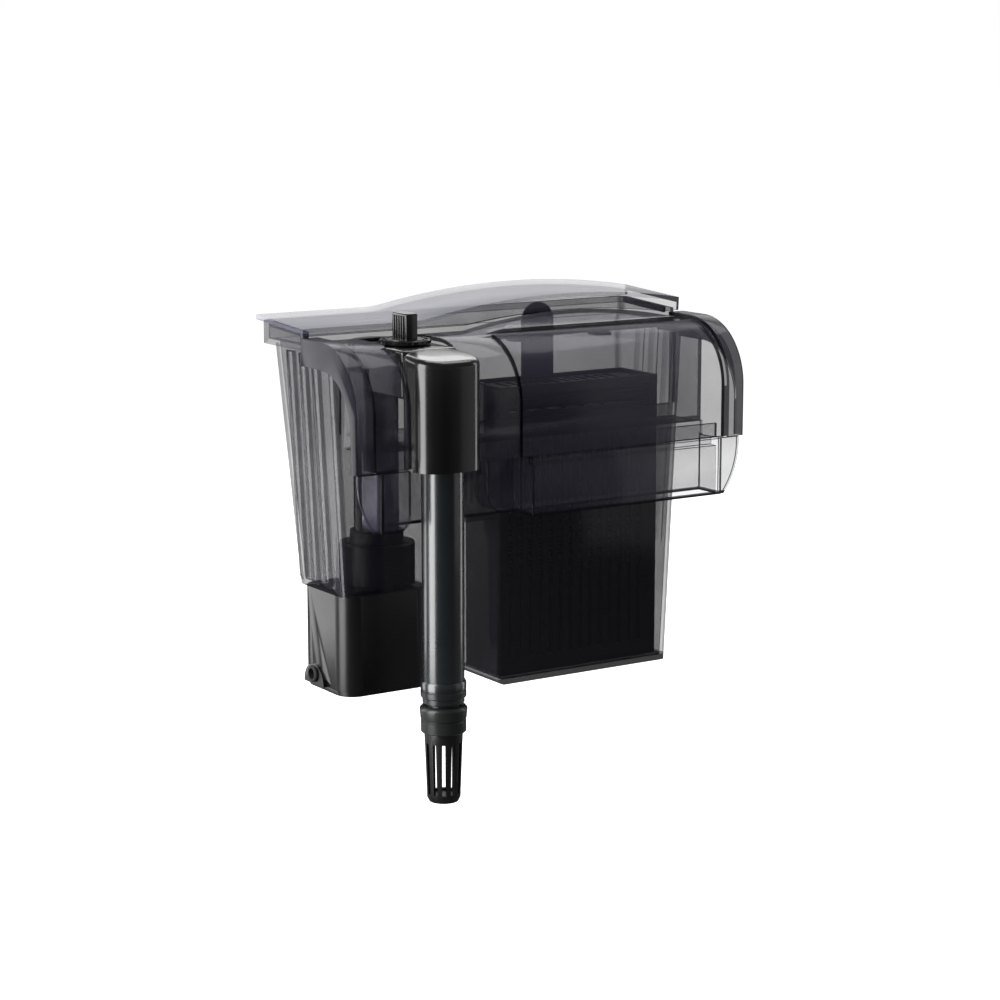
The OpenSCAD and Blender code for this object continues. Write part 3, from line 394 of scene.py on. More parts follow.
def meshBag():
    # knitted bag: two crossing threads over dark granules, each granule painted darker towards the gaps
    # round it: painted shade
    material, tree, shader = newMaterial("meshBag")
    spot = addNode(tree, "ShaderNodeTexCoord")
    warp = addNode(tree, "ShaderNodeTexWave", {"Vector": spot.outputs["Object"], "Scale": 110.0,
                                               "Distortion": 1.2, "Detail": 1.0}, bands_direction="DIAGONAL")
    weft = addNode(tree, "ShaderNodeTexWave", {"Vector": spot.outputs["Object"], "Scale": 150.0,
                                               "Distortion": 1.2, "Detail": 1.0}, bands_direction="Z")
    grains = addNode(tree, "ShaderNodeTexVoronoi", {"Vector": spot.outputs["Object"], "Scale": 420.0})
    thread = addNode(tree, "ShaderNodeMath", {0: warp.outputs["Fac"], 1: weft.outputs["Fac"]},
                     operation="MAXIMUM")
    mask = addNode(tree, "ShaderNodeMapRange", {"Value": thread.outputs[0], "From Min": 0.72,
                                                "From Max": 0.9})
    # granules lighter at their middles and darker towards the gaps between them: painted shade
    granuleGapShade = addNode(tree, "ShaderNodeMix", {"Factor": grains.outputs["Distance"],
                                              "A": (0.03, 0.03, 0.033, 1),
                                              "B": (0.005, 0.005, 0.006, 1)}, data_type="RGBA")
    tone = addNode(tree, "ShaderNodeMix", {"Factor": mask.outputs["Result"], "A": granuleGapShade.outputs["Result"],
                                           "B": (0.10, 0.10, 0.11, 1)}, data_type="RGBA")
    height = addNode(tree, "ShaderNodeMath", {0: mask.outputs["Result"], 1: grains.outputs["Distance"]},
                     operation="SUBTRACT")
    relief = addNode(tree, "ShaderNodeBump", {"Height": height.outputs[0], "Strength": 0.6,
                                              "Distance": 0.0005})
    gloss = addNode(tree, "ShaderNodeMapRange", {"Value": mask.outputs["Result"], "To Min": 0.55,
                                                 "To Max": 0.8})
    tree.links.new(tone.outputs["Result"], shader.inputs["Base Color"])
    tree.links.new(relief.outputs["Normal"], shader.inputs["Normal"])
    tree.links.new(gloss.outputs["Result"], shader.inputs["Roughness"])
    return material


finishes = {name: smokedPlastic(name) for name in smokeLooks}
finishes.update({name: solidPlastic(name) for name in solidLooks})
finishes["screwSteel"] = metal("screwSteel", (0.62, 0.62, 0.63), 0.3, (1, 1, 8))
finishes["coreSteel"] = metal("coreSteel", (0.40, 0.40, 0.42), 0.42, (1, 1, 12))
finishes["windingCopper"] = metal("windingCopper", (0.72, 0.33, 0.16), 0.28, (12, 1, 12))
finishes["foamBlack"] = porous("foamBlack", (0.004, 0.004, 0.005), (0.05, 0.05, 0.055), 900.0, 0.9, 0.85)
finishes["ringCeramic"] = porous("ringCeramic", (0.62, 0.57, 0.47), (0.83, 0.79, 0.70), 1400.0, 0.5, 0.8)
finishes["meshBag"] = meshBag()
print("materials built:", len(finishes))


def cadCopy(node):
    # welded copy of a CAD node, with its flat faces joined up again
    bm = bmesh.new()
    bm.from_mesh(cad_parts[node].data)
    bmesh.ops.remove_doubles(bm, verts=bm.verts, dist=0.00001)
    bmesh.ops.dissolve_limit(bm, angle_limit=math.radians(1.0), verts=bm.verts, edges=bm.edges)
    return bm


def softenEdges(bm, width, segments=2, sharperThan=28, keep=None):
    # rounds the edges that are sharp and long enough, and marks the new faces as rim
    mark = bm.faces.layers.float.get("rimMark") or bm.faces.layers.float.new("rimMark")
    sharp = []
    for edge in bm.edges:
        if len(edge.link_faces) != 2 or edge.calc_length() < width * 2.2:
            continue
        if edge.calc_face_angle(0.0) < math.radians(sharperThan):
            continue
        if keep and not keep(edge):
            continue
        sharp.append(edge)
    made = bmesh.ops.bevel(bm, geom=sharp, offset=width, offset_type="OFFSET", segments=segments,
                           profile=0.5, affect="EDGES", clamp_overlap=True, material=-1)
    for face in made["faces"]:
        face[mark] = 1.0
    return len(sharp)


def markNarrowFaces(bm, widest):
    # the cut rims of a sheet are faces no wider than its thickness, with sharp edges on both sides
    mark = bm.faces.layers.float.get("rimMark") or bm.faces.layers.float.new("rimMark")
    for face in bm.faces:
        if face.calc_area() / max(face.calc_perimeter() / 2, 1e-6) > widest:
            continue
        longest = max(edge.calc_length() for edge in face.edges)
        sides = [edge for edge in face.edges if edge.calc_length() > 0.6 * longest]
        if all(len(e.link_faces) == 2 and e.calc_face_angle(0.0) > 0.6 for e in sides):
            face[mark] = 1.0


def finishPiece(bm, name, body, materials, nodes=(), smoothUnder=32):
    mesh = bpy.data.meshes.new(name)
    for face in bm.faces:
        face.smooth = True
    bm.to_mesh(mesh)
    bm.free()
    mesh.set_sharp_from_angle(angle=math.radians(smoothUnder))
    piece = bpy.data.objects.new(name, mesh)
    bpy.context.scene.collection.objects.link(piece)
    for material in materials:
        mesh.materials.append(finishes[material])
    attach(piece, body)
    if nodes:
        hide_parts(*nodes)
    return piece


def spinProfile(points, centre, closedProfile=True, steps=64):
    # turns a profile of (radius, height) in mm about an upright axis
    bm = bmesh.new()
    verts = [bm.verts.new((r * mm, 0, z * mm)) for r, z in points]
    pairs = list(zip(verts, verts[1:]))
    if closedProfile:
        pairs.append((verts[-1], verts[0]))
    edges = [bm.edges.new(pair) for pair in pairs]
    bmesh.ops.spin(bm, geom=verts + edges, cent=(0, 0, 0), axis=(0, 0, 1), angle=math.tau,
                   steps=steps, use_merge=True, use_duplicate=False)
    bmesh.ops.remove_doubles(bm, verts=bm.verts, dist=0.000002)
    bmesh.ops.recalc_face_normals(bm, faces=bm.faces)
    bmesh.ops.translate(bm, verts=bm.verts, vec=centre)
    return bm


def addBox(bm, low, high, bevelWidth):
    # a box between two corners, with its edges taken off
    verts = bmesh.ops.create_cube(bm, size=1.0)["verts"]
    low, high = Vector(low), Vector(high)
    bmesh.ops.scale(bm, verts=verts, vec=high - low)
    bmesh.ops.translate(bm, verts=verts, vec=(low + high) / 2)
    bmesh.ops.bevel(bm, geom=list({e for v in verts for e in v.link_edges}), offset=bevelWidth, segments=1,
                    profile=0.5, affect="EDGES", clamp_overlap=True, material=-1)


def cutAcross(bm, point, normal):
    # cuts every face that a plane passes through
    bmesh.ops.bisect_plane(bm, geom=bm.verts[:] + bm.edges[:] + bm.faces[:], dist=0.000001,
                           plane_co=point, plane_no=normal)


def joinInto(bm, other):
    # adds one bmesh to another
    spare = bpy.data.meshes.new("spare")
    other.to_mesh(spare)
    other.free()
    bm.from_mesh(spare)
    bpy.data.meshes.remove(spare)


def middleOf(node):
    low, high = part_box(node)
    return (low + high) / 2, low, high


sheetEdges = {
    # node: piece, body, material, slot, edge width in mm, rim width in mm
    "filter_case": ("caseShell", "root", "smokeCase", "smoke_case", 0.5, 2.6),
    "outflow_spout": ("spoutPanels", "root", "smokeSpout", "smoke_case", 0.35, 2.3),
    "hood": ("hoodShell", "hood", "smokeHood", "smoke_hood", 0.5, 2.6),
    "outflow_cover": ("outflowCover", "hood", "smokeCover", "smoke_hood", 0.4, 2.6),
    "lid": ("lidPanel", "lid", "smokeLidSheenTop", "smoke_lid", 0.6, 2.8),
}


def markBand(bm, point, outward, amount, keep=lambda middle: True):
    # splits the faces at a plane and makes what lies beyond it as dark as a rim
    mark = bm.faces.layers.float["rimMark"]
    cutAcross(bm, point, outward)
    for face in bm.faces:
        middle = face.calc_center_median()
        if (middle - Vector(point)).dot(Vector(outward)) > 0 and keep(middle):
            face[mark] = max(face[mark], amount)


# dark lines and bands of the clear sheets: places in mm, amounts from 0 to 1
hoodMarks = {"beadFrom": 11.6, "bead": 0.35, "outerLine": 10.9, "innerLine": (-0.1, 0.9), "line": 0.95}
# rib: painted shade on the slanted sides of the case's ribs and on its rounded corners
caseMarks = {"foot": 1.8, "footSteps": 4, "rib": 0.55, "floor": 3.0, "floorDark": 0.92}
spoutMarks = {"panelFrom": 13.0, "lineWide": 1.5, "past": 0.2, "panelDeep": 3.5, "line": 0.95,
              "gusset": 0.1, "lip": 1.3, "lipDark": 0.9}


def darkenWhere(bm, test, amount):
    # raises the mark of the faces that pass a test
    mark = bm.faces.layers.float["rimMark"]
    for face in bm.faces:
        if test(face):
            face[mark] = max(face[mark], amount(face))


def markHood(bm):
    # the thick end beads carry more colour than the sheet between them, and a dark line at each edge
    size = hoodMarks
    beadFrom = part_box("hood")[1].x - size["beadFrom"] * mm
    lineFrom, lineTo = [beadFrom + edge * mm for edge in size["innerLine"]]
    darkenWhere(bm, lambda face: abs(face.calc_center_median().x) > beadFrom, lambda face: size["bead"])
    for side in (-1, 1):
        markBand(bm, (side * (beadFrom + size["outerLine"] * mm), 0, 0), (side, 0, 0), size["line"])
        cutAcross(bm, (side * lineTo, 0, 0), (1, 0, 0))
        markBand(bm, (side * lineFrom, 0, 0), (side, 0, 0), size["line"],
                 lambda middle: abs(middle.x) < lineTo)


def markCase(bm):
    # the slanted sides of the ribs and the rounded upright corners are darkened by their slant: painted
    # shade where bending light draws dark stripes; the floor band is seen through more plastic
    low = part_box("filter_case")[0]
    darkenWhere(bm, lambda face: (abs(face.normal.y) > 0.4 and abs(face.normal.x) > 0.12
                                  and abs(face.normal.z) < 0.3),
                lambda face: caseMarks["rib"] * abs(face.normal.y))
    markBand(bm, (0, 0, low.z + caseMarks["floor"] * mm), (0, 0, -1), caseMarks["floorDark"])


def markSpout(bm):
    # the panel is thicker at its ends and along its lip, and the gussets are clearer
    size = spoutMarks
    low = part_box("outflow_spout")[0]
    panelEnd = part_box("hood")[1].x - size["panelFrom"] * mm
    past = panelEnd + size["past"] * mm
    for side in (-1, 1):
        markBand(bm, (side * (panelEnd - size["lineWide"] * mm), 0, 0), (side, 0, 0), size["line"],
                 lambda middle: middle.y < low.y + size["panelDeep"] * mm and abs(middle.x) < past)
        markBand(bm, (side * past, 0, 0), (side, 0, 0), size["gusset"])
    markBand(bm, (0, 0, low.z + size["lip"] * mm), (0, 0, -1), size["lipDark"])


sheetMarks = {"hood": markHood, "filter_case": markCase, "outflow_spout": markSpout}


def roundFoot(bm):
    # the case's lowest edges have a larger radius than the rest
    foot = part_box("filter_case")[0].z + 0.2 * mm
    return softenEdges(bm, caseMarks["foot"] * mm, caseMarks["footSteps"],
                       keep=lambda edge: max(v.co.z for v in edge.verts) < foot)


def clearSkirt(bm):
    # the lid's skirt and rim take the clearer finish, and its flat top keeps a lighter, denser copy of the
    # same plastic: painted sheen on the top
    mark = bm.faces.layers.float["rimMark"]
    for face in bm.faces:
        if abs(face.normal.z) < 0.5 or face[mark] > 0.9:
            face.material_index = 1


def buildSheets():
    for node, (name, body, material, slotName, edgeWidth, rimWidth) in sheetEdges.items():
        bm = cadCopy(node)
        markNarrowFaces(bm, rimWidth * mm)
        count = roundFoot(bm) if node == "filter_case" else 0
        count += softenEdges(bm, edgeWidth * mm)
        materials = [material]
        if node == "lid":
            materials.append("smokeSkirt")
            clearSkirt(bm)
        if node in sheetMarks:
            sheetMarks[node](bm)
        finishPiece(bm, name, body, materials, [node])
        print("sheet", name, "with", count, "soft edges")


buildSheets()

mouldedEdges = {
    # node: piece, body, material, slot, edge width in mm
    "motor_housing": ("motorHousing", "root", "motorBlack", "gloss_black", 1.0),
    "motor_base": ("motorBase", "root", "motorBlack", "gloss_black", 0.5),
    "flow_baffle": ("flowBaffle", "root", "satinBlack", "satin_black", 0.3),
    "volute_cover": ("pumpVolute", "root", "satinBlack", "satin_black", 0.5),
    "media_basket": ("mediaBasket", "basket", "mediaBlack", "satin_black", 0.35),
    "basket_grid": ("basketGrid", "basket", "mediaBlack", "satin_black", 0.3),
    "impeller": ("impellerWheel", "rotor", "naturalNylon", "impeller_plastic", 0.3),
    "strainer": ("strainerCage", "telescope", "satinBlack", "satin_black", 0.25),
}


def buildMoulded():
    for node, (name, body, material, slotName, edgeWidth) in mouldedEdges.items():
        bm = cadCopy(node)
        count = softenEdges(bm, edgeWidth * mm, segments=3)
        finishPiece(bm, name, body, [material], [node])
        print("moulded", name, "with", count, "soft edges")


buildMoulded()


def roundedBlock(low, high, corner, crown=0.0, foot=0.0, segments=8):
    # a block with round upright corners, and a softened top and foot if asked
    bm = bmesh.new()
    bmesh.ops.create_cube(bm, size=1.0)
    low, high = Vector(low), Vector(high)
    bmesh.ops.scale(bm, verts=bm.verts, vec=high - low)
    bmesh.ops.translate(bm, verts=bm.verts, vec=(low + high) / 2)
    upright = [e for e in bm.edges if abs(e.verts[0].co.z - e.verts[1].co.z) > 1e-6]
    bmesh.ops.bevel(bm, geom=upright, offset=corner, offset_type="OFFSET", segments=segments,
                    profile=0.5, affect="EDGES", clamp_overlap=False, material=-1)
    for level, width in ((high.z, crown), (low.z, foot)):
        if width:
            rim = [e for e in bm.edges if all(abs(v.co.z - level) < 1e-6 for v in e.verts)]
            bmesh.ops.bevel(bm, geom=rim, offset=width, offset_type="OFFSET", segments=5,
                            profile=0.5, affect="EDGES", clamp_overlap=False, material=-1)
    return bm


elbowShape = {
    "legWide": 34.0, "legDeep": 28.0, "legTop": 44.5, "legFoot": -7.0, "corner": 10.5, "crown": 3.4,
    "wall": 2.2, "skirtDeep": 10.0, "belly": 1.8, "strips": 8, "sunkStrip": 1,
    "socketOut": 12.2, "socketIn": 10.2, "socketTop": 5.0,
    "bridgeHalf": 15.0, "bridgeLow": 25.1, "bridgeEdge": 1.6, "bridgeCorner": 2.2,
    "rearLeg": 11.0, "rearFoot": -48.8, "rearTop": 28.0, "rearWall": 2.0, "rearBore": 20.0,
    "rearEdge": 0.5, "rearRise": 0.6,
}


def elbowLeg(size, low, high, tube):
    # the square leg over the intake tube
    legLow = Vector((tube.x - size["legWide"] / 2, low.y, size["legFoot"]))
    legHigh = Vector((tube.x + size["legWide"] / 2, low.y + size["legDeep"], size["legTop"]))
    bm = roundedBlock(legLow, legHigh, size["corner"], size["crown"])
    # the front is a little crowned across its width
    strips = elbowShape["strips"]
    for step in range(1, strips):
        cutAcross(bm, (legLow.x + size["legWide"] * step / strips, 0, 0), (1, 0, 0))
    for vert in bm.verts:
        across = 2 * (vert.co.x - tube.x) / size["legWide"]
        vert.co.y += size["belly"] * across ** 2 * (legHigh.y - vert.co.y) / size["legDeep"]
    # the top climbs from its front edge to the bridge
    for vert in bm.verts:
        if vert.co.z > legHigh.z - 2 * size["crown"]:
            vert.co.z += (high.z - legHigh.z) * (vert.co.y - legLow.y) / size["legDeep"]
    # one strip of its foot is sunk, picked by its place so that each run makes the same mesh
    foot = [face for face in bm.faces if all(v.co.z < size["legFoot"] + 0.1 * mm for v in face.verts)]
    strip = sorted(foot, key=lambda face: face.calc_center_median().x)[elbowShape["sunkStrip"]]
    bmesh.ops.inset_region(bm, faces=[strip], thickness=size["wall"], use_even_offset=True)
    sunk = bmesh.ops.extrude_discrete_faces(bm, faces=[strip])["faces"][0]
    bmesh.ops.translate(bm, verts=sunk.verts[:], vec=(0, 0, size["skirtDeep"]))
    return bm, legHigh


def buildElbow():
    size = {key: value * mm for key, value in elbowShape.items()}
    low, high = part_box("intake_elbow")
    tube = middleOf("intake_tube")[0]
    pump = middleOf("rotor_shaft")[0]
    bm, legHigh = elbowLeg(size, low, high, tube)
    joinInto(bm, roundedBlock(
        (tube.x - size["bridgeHalf"], legHigh.y - 2 * size["bridgeEdge"], size["bridgeLow"]),
        (tube.x + size["bridgeHalf"], pump.y, high.z), size["bridgeCorner"], size["bridgeEdge"],
        size["bridgeEdge"], 4))
    # the bridge ends in a drum over the pump, and the rear leg goes down from it
    half, edge = elbowShape["bridgeHalf"], elbowShape["bridgeEdge"]
    top, base = high.z / mm, elbowShape["bridgeLow"]
    drum = [(0, top), (half - edge, top), (half - edge * 0.4, top - edge * 0.25), (half, top - edge),
            (half, base + edge), (half - edge * 0.4, base + edge * 0.25), (half - edge, base), (0, base)]
    joinInto(bm, spinProfile(drum, (tube.x, pump.y, 0), closedProfile=False))
    leg, end, start = elbowShape["rearLeg"], elbowShape["rearFoot"], elbowShape["rearTop"]
    bore, inside = end + elbowShape["rearBore"], leg - elbowShape["rearWall"]
    pipe = [(0, start), (leg, start), (leg, end + elbowShape["rearRise"]),
            (leg - elbowShape["rearEdge"], end), (inside, end), (inside, bore), (0, bore)]
    joinInto(bm, spinProfile(pipe, (pump.x, pump.y, 0), closedProfile=False))
    socketIn, socketOut = elbowShape["socketIn"], elbowShape["socketOut"]
    foot, top = elbowShape["legFoot"], elbowShape["socketTop"]
    collar = [(socketIn, foot), (socketOut, foot), (socketOut, top), (socketIn, top)]
    joinInto(bm, spinProfile(collar, (tube.x, tube.y, 0)))
    finishPiece(bm, "intakeElbow", "root", ["glossBlack"], ["intake_elbow"])
    print("intake elbow built")


buildElbow()

knobShape = {
    "gap": 0.3, "disc": 2.5, "rim": 12.2, "edge": 0.5, "stem": 2.6,
    "grooveIn": 9.1, "grooveOut": 11.1, "groove": 0.8, "slope": 0.2,
    "grips": 28, "gripLong": 1.6, "gripWide": 0.5, "gripEdge": 0.2,
    "finWide": 8.0, "finLong": 13.5, "finEdge": 1.0, "finSunk": 0.4,
    "fluteRows": 5, "fluteGap": 2.1, "flute": 0.7, "ribDeep": 0.8, "ribHalf": 0.62, "ribBelow": 1.2,
    "ribCorner": 0.5, "ribCrown": 0.4,
}


def knobDisc(size, stemFoot):
    # profile of the disc with its groove and its stem, in mm over the disc's foot
    top, edge, rim, stem = size["disc"], size["edge"], size["rim"], size["stem"]
    floor, slope = size["disc"] - size["groove"], size["slope"]
    return [(0, top), (size["grooveIn"], top), (size["grooveIn"] + slope, floor),
            (size["grooveOut"] - slope, floor), (size["grooveOut"], top),
            (rim - edge, top), (rim, top - edge), (rim, edge), (rim - edge, 0),
            (stem, 0), (stem, stemFoot + edge), (stem - edge, stemFoot), (0, stemFoot)]


def buildKnob():
    size = {key: value * mm for key, value in knobShape.items()}
    low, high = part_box("flow_knob")
    middle = (low + high) / 2
    # the box's lowest point is the stem's foot, so the disc stands on the elbow
    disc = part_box("intake_elbow")[1].z + size["gap"]
    bm = spinProfile(knobDisc(knobShape, (low.z - disc) / mm), (middle.x, middle.y, disc),
                     closedProfile=False)
    # finger grips round the disc
    long, wide, edge = size["gripLong"] / 2, size["gripWide"] / 2, size["edge"]
    for count in range(knobShape["grips"]):
        grip = bmesh.new()
        addBox(grip, (-long, -wide, edge), (long, wide, size["disc"] - edge), size["gripEdge"])
        bmesh.ops.translate(grip, verts=grip.verts, vec=(size["rim"] - edge, 0, 0))
        bmesh.ops.rotate(grip, verts=grip.verts, cent=(0, 0, 0),
                         matrix=Matrix.Rotation(math.tau * count / knobShape["grips"], 3, "Z"))
        bmesh.ops.translate(grip, verts=grip.verts, vec=(middle.x, middle.y, disc))
        joinInto(bm, grip)
    half, long = size["finWide"] / 2, size["finLong"] / 2
    joinInto(bm, roundedBlock(
        (middle.x - half + size["flute"], middle.y - long, disc + size["disc"] - size["finSunk"]),
        (middle.x + half - size["flute"], middle.y + long, high.z), size["finEdge"], size["finEdge"],
        segments=4))
    # upright flutes on the broad sides of the fin
    deep, across = size["ribDeep"], size["ribHalf"]
    for side in (-1, 1):
        for row in range(knobShape["fluteRows"]):
            along = (row - (knobShape["fluteRows"] - 1) / 2) * size["fluteGap"]
            rib = roundedBlock((-deep, -across, disc + size["disc"]),
                               (deep, across, high.z - size["ribBelow"]),
                               size["ribCorner"], size["ribCrown"], segments=3)
            bmesh.ops.translate(rib, verts=rib.verts, vec=(middle.x + side * (half - deep),
                                                           middle.y + along, 0))
            joinInto(bm, rib)
    finishPiece(bm, "flowKnob", "knob", ["glossBlack"], ["flow_knob"])
    print("flow knob built")


buildKnob()

# turned parts: node, piece, body, material, slot and profile of (radius, height over its foot) in mm
turnedShapes = {
    "intake_tube": ("intakeTube", "root", "darkTube", "smoke_tube",
                    [(8.4, 0.5), (8.8, 0), (9.5, 0), (10, 0.5), (10, 121.9), (9.4, 122.6), (8.8, 122.6),
                     (8.4, 122.1)]),
    "tube_band": ("tubeBand", "root", "darkTube", "satin_black",
                  [(10.02, 0), (10.5, 0), (10.9, 0.5), (10.9, 3.0), (10.6, 3.3), (10.6, 3.7), (10.9, 4.0),
                   (10.9, 7.3), (10.5, 8), (10.02, 8)]),
    "strainer_socket": ("strainerSocket", "telescope", "socketGrey", "satin_black",
                        [(8.5, 0), (10.3, 0), (10.8, 0.5), (10.8, 5.6), (10.5, 5.9), (10.5, 6.4),
                         (10.95, 6.8), (11.4, 11.2), (11.3, 11.7), (10.4, 12.7), (9.9, 13), (8.5, 13),
                         (8.35, 12.7), (8.35, 5), (8.3, 5), (8.3, 0.4)]),
}


extensionShape = {"wall": 1.6, "edge": 0.4, "chamfer": 0.3, "firstRing": 16, "ringEvery": 10, "plainTop": 8,
                  "ringHalf": 0.6, "ringFloor": 0.2, "ringDeep": 0.28}

# ribbed grommet: a profile along its bore, which stays open
glandShape = {"long": 7.0, "profile": [(2.7, 0), (3.6, 0), (4.2, 0.5), (4.2, 1.1), (3.9, 1.4), (3.4, 1.4),
                                       (3.4, 5.6), (4.2, 5.6), (4.2, 6.6), (3.8, 7.0), (2.7, 7.0)]}


def extensionProfile(length, radius):
    # rings pressed into the sliding tube at even steps hold it at its height
    size = extensionShape
    inside, sunk = radius - size["wall"], radius - size["ringDeep"]
    edge, chamfer = size["edge"], size["chamfer"]
    points = [(inside, edge), (inside + chamfer, 0), (radius - edge, 0), (radius, edge)]
    for ringAt in range(size["firstRing"], int(length) - size["plainTop"], size["ringEvery"]):
        points += [(radius, ringAt - size["ringHalf"]), (sunk, ringAt - size["ringFloor"]),
                   (sunk, ringAt + size["ringFloor"]), (radius, ringAt + size["ringHalf"])]
    return points + [(radius, length - edge), (radius - chamfer, length), (inside + chamfer, length),
                     (inside, length - edge)]


def buildTurned():
    for node, (name, body, material, slotName, profile) in turnedShapes.items():
        middle, low, high = middleOf(node)
        bm = spinProfile(profile, (middle.x, middle.y, low.z), steps=96)
        finishPiece(bm, name, body, [material], [node])
    middle, low, high = middleOf("extension_tube")
    radius = (high.x - low.x) / 2 / mm
    profile = extensionProfile((high.z - low.z) / mm, radius)
    bm = spinProfile(profile, (middle.x, middle.y, low.z), steps=80)
    finishPiece(bm, "extensionTube", "telescope", ["darkTube"], ["extension_tube"])
    middle, low, high = middleOf("cable_gland")
    reach = (high.x - low.x) / mm / glandShape["long"]
    gland = spinProfile([(r, z * reach) for r, z in glandShape["profile"]], (0, 0, 0))
    bmesh.ops.rotate(gland, verts=gland.verts, cent=(0, 0, 0), matrix=Matrix.Rotation(math.pi / 2, 3, "Y"))
    bmesh.ops.translate(gland, verts=gland.verts, vec=(low.x, middle.y, middle.z))
    finishPiece(gland, "cableGland", "root", ["sealRubber"], ["cable_gland"])
    print("turned parts built")


buildTurned()

ringShape = {"outer": 5.8, "inner": 2.9, "tall": 11.6, "edge": 0.5, "across": 7, "deep": 2, "layers": 4,
             "tilt": 2.5, "shrinkLeast": 0.02, "shrink": 0.12, "shorten": 0.08}


def buildRings():
    # fired rings: no two quite the same size or upright
    size = ringShape
    low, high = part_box("ceramic_rings")
    outer, inner, tall, edge = size["outer"], size["inner"], size["tall"], size["edge"]
    profile = [(inner, edge), (inner + edge, 0), (outer - edge, 0), (outer, edge), (outer, tall - edge),
               (outer - edge, tall), (inner + edge, tall), (inner, tall - edge)]
    counts = (size["across"], size["deep"], size["layers"])
    wide = Vector((outer, outer, tall / 2)) * mm
    bm = bmesh.new()
    for place in range(counts[0] * counts[1] * counts[2]):
        step = (place % counts[0], place // counts[0] % counts[1], place // (counts[0] * counts[1]))
        centre = Vector([low[i] + wide[i] + (high[i] - low[i] - 2 * wide[i]) * step[i] / (counts[i] - 1)
                         for i in range(3)])
        ring = spinProfile(profile, (0, 0, -tall / 2 * mm), steps=24)
        wider = 1 - random.uniform(size["shrinkLeast"], size["shrink"])
        taller = 1 - random.uniform(size["shrinkLeast"], size["shorten"])
        bmesh.ops.scale(ring, verts=ring.verts, vec=(wider, wider, taller))
        lean = math.radians(size["tilt"])
        bmesh.ops.rotate(ring, verts=ring.verts, cent=(0, 0, 0),
                         matrix=Matrix.Rotation(random.uniform(-lean, lean), 3, "X")
                         @ Matrix.Rotation(random.uniform(-lean, lean), 3, "Y"))
        bmesh.ops.translate(ring, verts=ring.verts, vec=centre)
        joinInto(bm, ring)
    finishPiece(bm, "ceramicRings", "basket", ["ringCeramic"], ["ceramic_rings"])
    print("ceramic rings built:", counts[0] * counts[1] * counts[2])


buildRings()

foamShape = {"corner": 2.2, "cell": 2.2, "pull": 0.9, "endPull": 0.63, "pore": 0.35, "poreScale": 700,
             "tornScale": 300}
bagShape = {"corner": 6.0, "cell": 2.4, "pinch": 2.6, "seamWide": 1.6, "pucker": 0.25, "puckerScale": 900,
            "sag": 1.2, "lump": 0.7, "lumpScale": 160, "granuleScale": 420, "smooth": 0.35}


def softBody(node, corner, cell):
    # a closed body in the space of the CAD solid, cut into an even net of small faces
    middle, low, high = middleOf(node)
    bm = bmesh.new()
    bmesh.ops.create_cube(bm, size=1.0)
    bmesh.ops.scale(bm, verts=bm.verts, vec=high - low)
    bmesh.ops.translate(bm, verts=bm.verts, vec=middle)
    bmesh.ops.bevel(bm, geom=bm.edges[:], offset=corner * mm, offset_type="OFFSET", segments=3,
                    profile=0.5, affect="EDGES", clamp_overlap=False, material=-1)
    for axis in range(3):
        steps = int((high[axis] - low[axis] - 2 * corner * mm) / (cell * mm))
        for step in range(1, steps):
            cut = Vector((0, 0, 0))
            cut[axis] = low[axis] + corner * mm + (high[axis] - low[axis] - 2 * corner * mm) * step / steps
            normal = Vector((0, 0, 0))
            normal[axis] = 1.0
            cutAcross(bm, cut, normal)
    return bm, low, high


def unitIn(value, low, high):
    # -1 at one end of a span, 1 at the other
    return max(-1.0, min(1.0, 2 * (value - low) / (high - low) - 1))


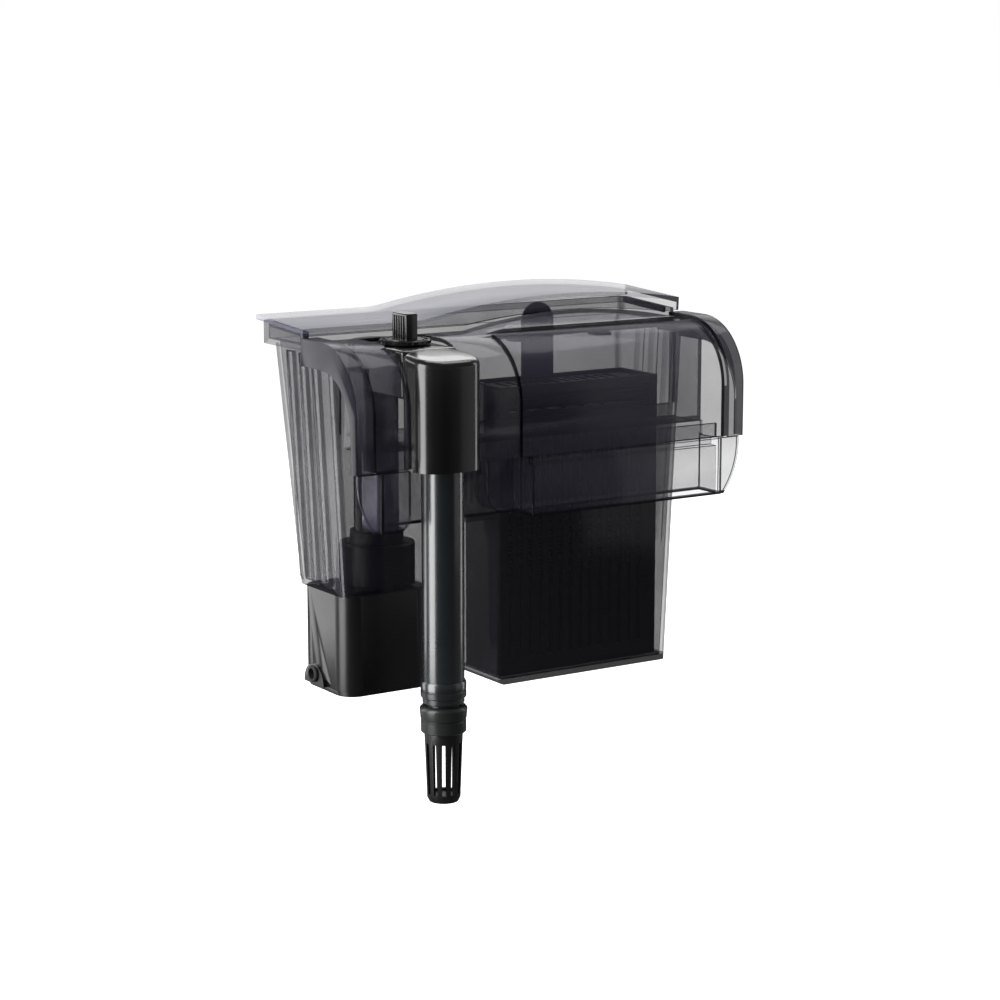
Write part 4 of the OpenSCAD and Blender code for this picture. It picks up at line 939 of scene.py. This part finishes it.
def buildFoam():
    # a cut block of open-cell foam: its faces hollow a little between the corners, its skin is torn cells
    size = foamShape
    bm, low, high = softBody("foam_sponge", size["corner"], size["cell"])
    bm.normal_update()
    moves = []
    for vert in bm.verts:
        u = [unitIn(vert.co[i], low[i], high[i]) for i in range(3)]
        hollow = size["pull"] * (1 - abs(u[0]) ** 4) * (1 - abs(u[2]) ** 4) * abs(vert.normal.y)
        hollow += size["endPull"] * (1 - abs(u[1]) ** 4) * (1 - abs(u[2]) ** 4) * abs(vert.normal.x)
        rough = size["pore"] * (noise.noise(vert.co * size["poreScale"])
                                + 0.6 * noise.noise(vert.co * size["tornScale"]) - 0.6)
        moves.append((vert, vert.normal * (rough - hollow) * mm))
    for vert, move in moves:
        vert.co += move
    piece = finishPiece(bm, "foamSponge", "basket", ["foamBlack"], ["foam_sponge"], smoothUnder=60)
    print("foam sponge built")


def buildBag():
    # a loose bag of granules: full at the middle, drawn in to a sewn seam round its waist
    size = bagShape
    bm, low, high = softBody("carbon_bag", size["corner"], size["cell"])
    waistAt = (low.z + high.z) / 2
    bm.normal_update()
    moves = []
    for vert in bm.verts:
        u = [unitIn(vert.co[i], low[i], high[i]) for i in range(3)]
        rim = max(abs(u[0]) ** 6, abs(u[1]) ** 6)
        waist = math.exp(-((vert.co.z - waistAt) / (size["seamWide"] * mm)) ** 2)
        wave = math.sin((vert.co.x + vert.co.y) * size["puckerScale"])
        pucker = 1 - size["pucker"] + size["pucker"] * wave
        draw = size["pinch"] * waist * rim * pucker
        slump = size["sag"] * abs(vert.normal.z) * (0.3 + 0.7 * (1 - (1 - u[0] ** 2) * (1 - u[1] ** 2)))
        lumps = size["lump"] * (noise.noise(vert.co * size["lumpScale"])
                                + 0.5 * noise.noise(vert.co * size["granuleScale"]) - 0.75)
        moves.append((vert, vert.normal * (lumps - draw - slump) * mm))
    for vert, move in moves:
        vert.co += move
    bmesh.ops.smooth_vert(bm, verts=bm.verts, factor=size["smooth"], use_axis_x=True, use_axis_y=True,
                          use_axis_z=True)
    piece = finishPiece(bm, "carbonBag", "basket", ["meshBag"], ["carbon_bag"], smoothUnder=60)
    print("carbon bag built")


buildFoam()
buildBag()

# CAD nodes that stay as they are take a finish
keptFinishes = {
    "elbow_seal": "sealRubber", "knob_seal": "sealRubber", "motor_seal": "sealRubber",
    "upper_bearing": "sealRubber", "lower_bearing": "sealRubber", "rotor_magnet": "ferrite",
    "rotor_shaft": "shaftCeramic", "flow_gate": "satinBlack", "base_screws": "screwSteel",
    "stator_core": "coreSteel", "stator_coil": "windingCopper",
}
for node, material in keptFinishes.items():
    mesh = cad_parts[node].data
    mesh.materials.clear()
    mesh.materials.append(finishes[material])
